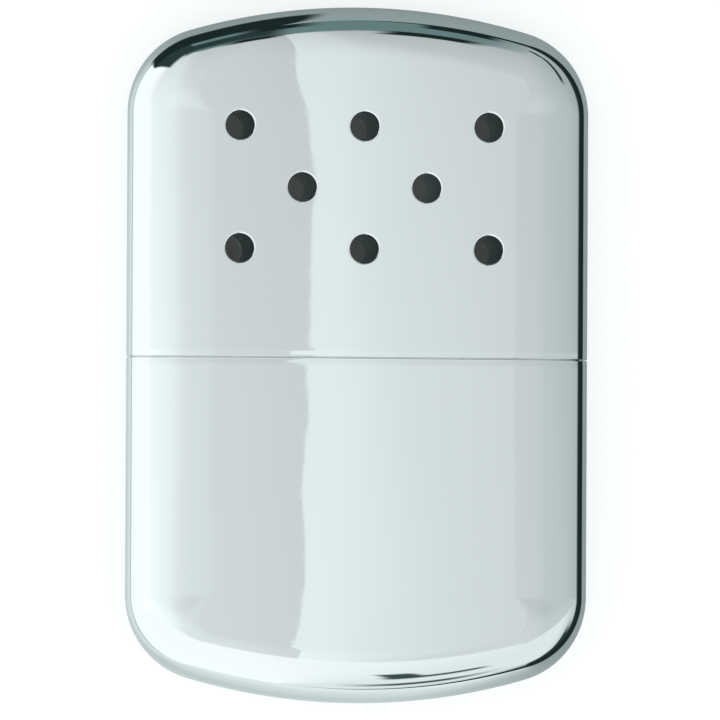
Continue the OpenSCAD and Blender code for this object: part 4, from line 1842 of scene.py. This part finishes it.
@dataclass(frozen=True)
class Room:
    """The studio round the warmer: a graded ceiling, pale walls on the left, and dark gaps at the far end.

    Chrome gives back about two thirds of the light, so the room is that much brighter than the greys below,
    which are the greys seen in the chrome. The ceiling has its greys across it, and factors along it and by
    the distance from its edge, all by degrees.
    """

    level: float = 1.53
    across: tuple[tuple[float, str], ...] = (
        (-66.0, "#FEFEFE"), (-61.0, "#F5F6F6"), (-48.0, "#EEF0F0"), (-36.0, "#E9EBEB"), (-28.0, "#E2E4E4"),
        (-20.0, "#DCDDDD"), (-12.0, "#D8DADA"), (4.5, "#D4D6D6"), (7.8, "#D2D4D4"), (8.8, "#CBCDCD"),
        (12.5, "#C8CACA"), (32.0, "#C5C7C7"), (40.0, "#BFC3C3"), (72.0, "#BBBFBF"), (90.0, "#B6BBBB"))
    along: Stops = (
        (-48.0, 1.19), (-4.0, 1.13), (1.9, 1.05), (4.0, 0.995), (8.0, 0.98), (20.0, 0.93), (36.0, 0.88),
        (52.0, 0.83), (90.0, 0.8))
    edge: Stops = ((-2.75, 1.0), (-0.012, 0.91), (0.012, 1.2), (2.0, 1.14), (5.0, 1.0))
    edge_path: Stops = (
        (-0.75, 0.24), (-0.64, 0.13), (-0.53, 0.04), (-0.35, 0.0), (-0.18, -0.08), (0.2, -0.11),
        (0.45, -0.05), (0.9, -0.1), (1.07, -0.15), (1.47, -0.12), (1.54, -0.02), (2.6, -0.02), (3.0, -0.12),
        (3.16, -0.13), (3.43, -0.09), (3.58, -0.02), (3.73, 0.03), (3.9, 0.06))
    edge_lean: float = 7.1
    edge_bend: float = 0.105
    edge_straight: float = 3.0
    cards: tuple[RoomCard, ...] = (
        RoomCard("pale_panel_near", "#E4E8E8", (-75.0, 80.0, 8.0), (-95.0, -17.0, 1.0)),
        RoomCard("white_panel_near", "#FEFEFE", (-75.0, 10.0, 12.0), (-95.0, -15.0, 1.0)),
        RoomCard("white_wall_left", "#FFFFFF", (-59.5, 59.5, 1.5), (-30.0, 23.0, 6.0), heading=-154.5),
        RoomCard("grey_wall_far", "#677D7E", (-23.0, 34.0, 4.0), (-20.0, 33.0, 3.0), heading=90.0),
        RoomCard("dark_gap_far", "#2A393A", (-28.0, 28.5, 1.5), (-20.0, 28.0, 4.0), heading=117.5),
        RoomCard("grey_rail_far", "#64797A", (-5.0, 9.0, 2.0), (1.0, 10.0, 1.5), heading=98.0),
        RoomCard("dark_shelf_low", "#1A2627", (0.0, 6.0, 2.0), (-9.0, 13.0, 1.2), heading=87.0),
        RoomCard("dark_shelf_low_right", "#1A2627", (-3.0, 4.0, 1.0), (-9.0, 12.0, 1.2), heading=72.0),
        RoomCard("dark_shelf_high", "#1A2627", (-11.5, -2.0, 1.5), (30.0, 41.0, 1.2), heading=80.0),
        RoomCard("dark_shelf_high_left", "#1A2627", (8.5, 14.0, 1.5), (28.0, 38.0, 1.2), heading=80.0),
        RoomCard("dark_stand_near", "#2F4040", (-5.5, 6.5, 4.0), (9.0, 16.0, 2.5), heading=-76.0),
        RoomCard("dark_box_near", "#2F4040", (-5.0, 5.5, 1.0), (28.0, 35.0, 2.0), heading=-73.0),
        RoomCard("dark_box_near_left", "#3A4C4C", (-2.0, 2.0, 0.7), (33.0, 44.0, 2.0), heading=-75.3),
        RoomCard("dark_rail_right", "#26383A", (-25.0, 22.0, 3.0), (11.0, 16.0, 1.0), heading=42.0),
        RoomCard("dark_skirting_near", "#26383A", (-22.0, 30.0, 6.0), (-9.0, 6.0, 1.0), heading=-42.0),
        RoomCard("dark_skirting_right", "#26383A", (-45.0, 84.0, 3.0), (-9.0, 1.5, 1.0), heading=-20.0),
        RoomCard("white_horizon", "#FFFFFF", (-200.0, 200.0, 1.0), (-100.0, -0.4, 0.2), heading=0.0))

    def make(self) -> bpy.types.World:
        """Builds the world.

        Returns:
            The new world.
        """
        world = bpy.data.worlds.new("studio_room")
        world.use_nodes = True
        tree = world.node_tree
        tree.nodes.clear()
        aim = add_node(tree, "TexCoord").outputs["Generated"]
        parts = add_node(tree, "SeparateXYZ", {0: aim}).outputs
        lean_x, lean_y = (self._angle(tree, "ARCTAN2", parts[part], parts["Z"]) for part in "XY")
        height = self._angle(tree, "ARCSINE", parts["Z"])
        place = add_node(tree, "MapRange", {"Value": lean_x, "From Min": -90.0, "From Max": 90.0})
        shade = set_ramp(add_node(tree, "ValToRGB", {"Fac": place}),
                         [((at + 90) / 180, code) for at, code in self.across])
        for level in (graph(tree, lean_y, self.along),
                      graph(tree, self._off_edge(tree, parts["X"], lean_y), self.edge)):
            shade = add_node(tree, "VectorMath", {0: shade, "Scale": level}, operation="SCALE")
        for card in self.cards:
            side, up = lean_x, lean_y
            if card.heading is not None:
                turn = math.radians(card.heading)
                ahead, aside = (
                    add_node(tree, "VectorMath", {0: aim, 1: way}, operation="DOT_PRODUCT").outputs["Value"]
                    for way in ((math.cos(turn), math.sin(turn), 0), (-math.sin(turn), math.cos(turn), 0)))
                side, up = self._angle(tree, "ARCTAN2", aside, ahead), height
            shade = self._lay(tree, shade, card, side, up)
        glow = add_node(tree, "Background", {"Color": shade, "Strength": self.level})
        add_node(tree, "OutputWorld", {"Surface": glow})
        return world

    def _angle(self, tree: bpy.types.NodeTree, operation: str, *parts: Feed) -> bpy.types.Node:
        """Works out an angle from parts of a direction.

        Args:
            tree: The world's node tree.
            operation: The rule that turns the parts into an angle.
            *parts: One or two parts of the direction.

        Returns:
            The node that gives the angle in degrees.
        """
        angle = add_node(tree, "Math", dict(enumerate(parts)), operation=operation)
        return add_node(tree, "Math", {0: angle}, operation="DEGREES")

    def _off_edge(self, tree: bpy.types.NodeTree, sideways: Feed, lean_y: Feed) -> bpy.types.Node:
        """Works out how far a direction lies beside the ceiling's edge.

        The edge goes by the sideways part of the direction. It bends back over the ends of the body, where
        the faces round off, so that it runs on almost straight in the chrome.

        Args:
            tree: The world's node tree.
            sideways: The direction's X part.
            lean_y: How far it leans to the lid's end, in degrees.

        Returns:
            The node that gives the angle in degrees.
        """
        beside = self._angle(tree, "ARCSINE", sideways)
        bend = add_node(tree, "Math", {0: lean_y}, operation="ABSOLUTE")
        for operation, other in (("SUBTRACT", self.edge_straight), ("MAXIMUM", 0.0)):
            bend = add_node(tree, "Math", {0: bend, 1: other}, operation=operation)
        bend = add_node(tree, "Math", {0: bend, 1: self.edge_bend, 2: -self.edge_lean},
                        operation="MULTIPLY_ADD")
        for part in (bend, graph(tree, lean_y, self.edge_path)):
            beside = add_node(tree, "Math", {0: beside, 1: part}, operation="ADD")
        return beside

    def _lay(self, tree: bpy.types.NodeTree, below: Feed, card: RoomCard, side: Feed,
             up: Feed) -> bpy.types.NodeSocket:
        """Lays a card over what is there.

        Args:
            tree: The world's node tree.
            below: The colour so far.
            card: The card.
            side: The card's angle across.
            up: The card's angle up.

        Returns:
            The colour with the card in it.
        """
        cover = None
        for angle, (low, high, soft) in ((side, card.across), (up, card.up)):
            for edge, sign in ((low, 1.0), (high, -1.0)):
                part = add_node(tree, "MapRange", {
                    "Value": angle, "From Min": edge - sign * soft, "From Max": edge + sign * soft},
                    interpolation_type="SMOOTHSTEP")
                if cover is not None:
                    part = add_node(tree, "Math", {0: cover, 1: part}, operation="MULTIPLY")
                cover = part
        mixed = add_node(tree, "Mix", {"Factor": cover, "A": below, "B": linear(card.colour)},
                         data_type="RGBA", label=card.name)
        return mixed.outputs["Result"]


@dataclass
class Studio:
    """Camera, floor and room."""

    view_w: float = 102.2
    distance: float = 2200.0
    from_left: float = 8.2
    from_lid_end: float = -1.5
    roll: float = -0.4
    aim: tuple[float, float] = (0.42, -0.66)
    sensor_w: float = 36.0
    clip_m: tuple[float, float] = (0.1, 20.0)
    floor_m: float = 6.0

    def build(self) -> None:
        """Builds the whole studio."""
        self._camera()
        self._floor()
        bpy.context.scene.world = Room().make()
        bpy.context.scene.view_settings.view_transform = "Standard"

    def _camera(self) -> None:
        """Places the camera almost overhead, far off and a little towards the left side."""
        data = bpy.data.cameras.new("camera")
        data.sensor_width = self.sensor_w
        data.lens = data.sensor_width * self.distance / self.view_w
        data.clip_start, data.clip_end = self.clip_m
        camera = add_object("camera", data)
        left, ahead = math.radians(self.from_left), math.radians(self.from_lid_end)
        back = Vector((-math.tan(left), math.tan(ahead), 1.0))
        back.normalize()
        turn = Vector((0, 0, 1)).rotation_difference(back)
        right, up = turn @ Vector((1, 0, 0)), turn @ Vector((0, 1, 0))
        target = Vector((0, 0, BodyForm().mid)) + right * self.aim[0] + up * self.aim[1]
        camera.rotation_mode = "QUATERNION"
        camera.rotation_quaternion = turn @ Quaternion((0, 0, 1), math.radians(-self.roll))
        camera.location = (target + back * self.distance) * MM
        bpy.context.scene.camera = camera

    def _floor(self) -> None:
        """Lays the paper that the warmer lies on."""
        half = self.floor_m / 2
        mesh = bpy.data.meshes.new("studio_floor")
        corners = [(-half, -half, 0), (half, -half, 0), (half, half, 0), (-half, half, 0)]
        mesh.from_pydata(corners, [], [(0, 1, 2, 3)])
        floor = add_object("studio_floor", mesh)
        mesh.materials.append(FloorPaper().make())


def main() -> None:
    """Builds the warmer and its studio, and reports each piece."""
    logging.basicConfig(level=logging.INFO, format="%(name)s: %(message)s")
    for assembly in (LidAssembly(), TankAssembly(), BurnerAssembly()):
        for piece in assembly.build():
            log.info("%s built as a %s", piece.name, piece.type.lower())
    Studio().build()


if __name__ == "__main__":
    main()
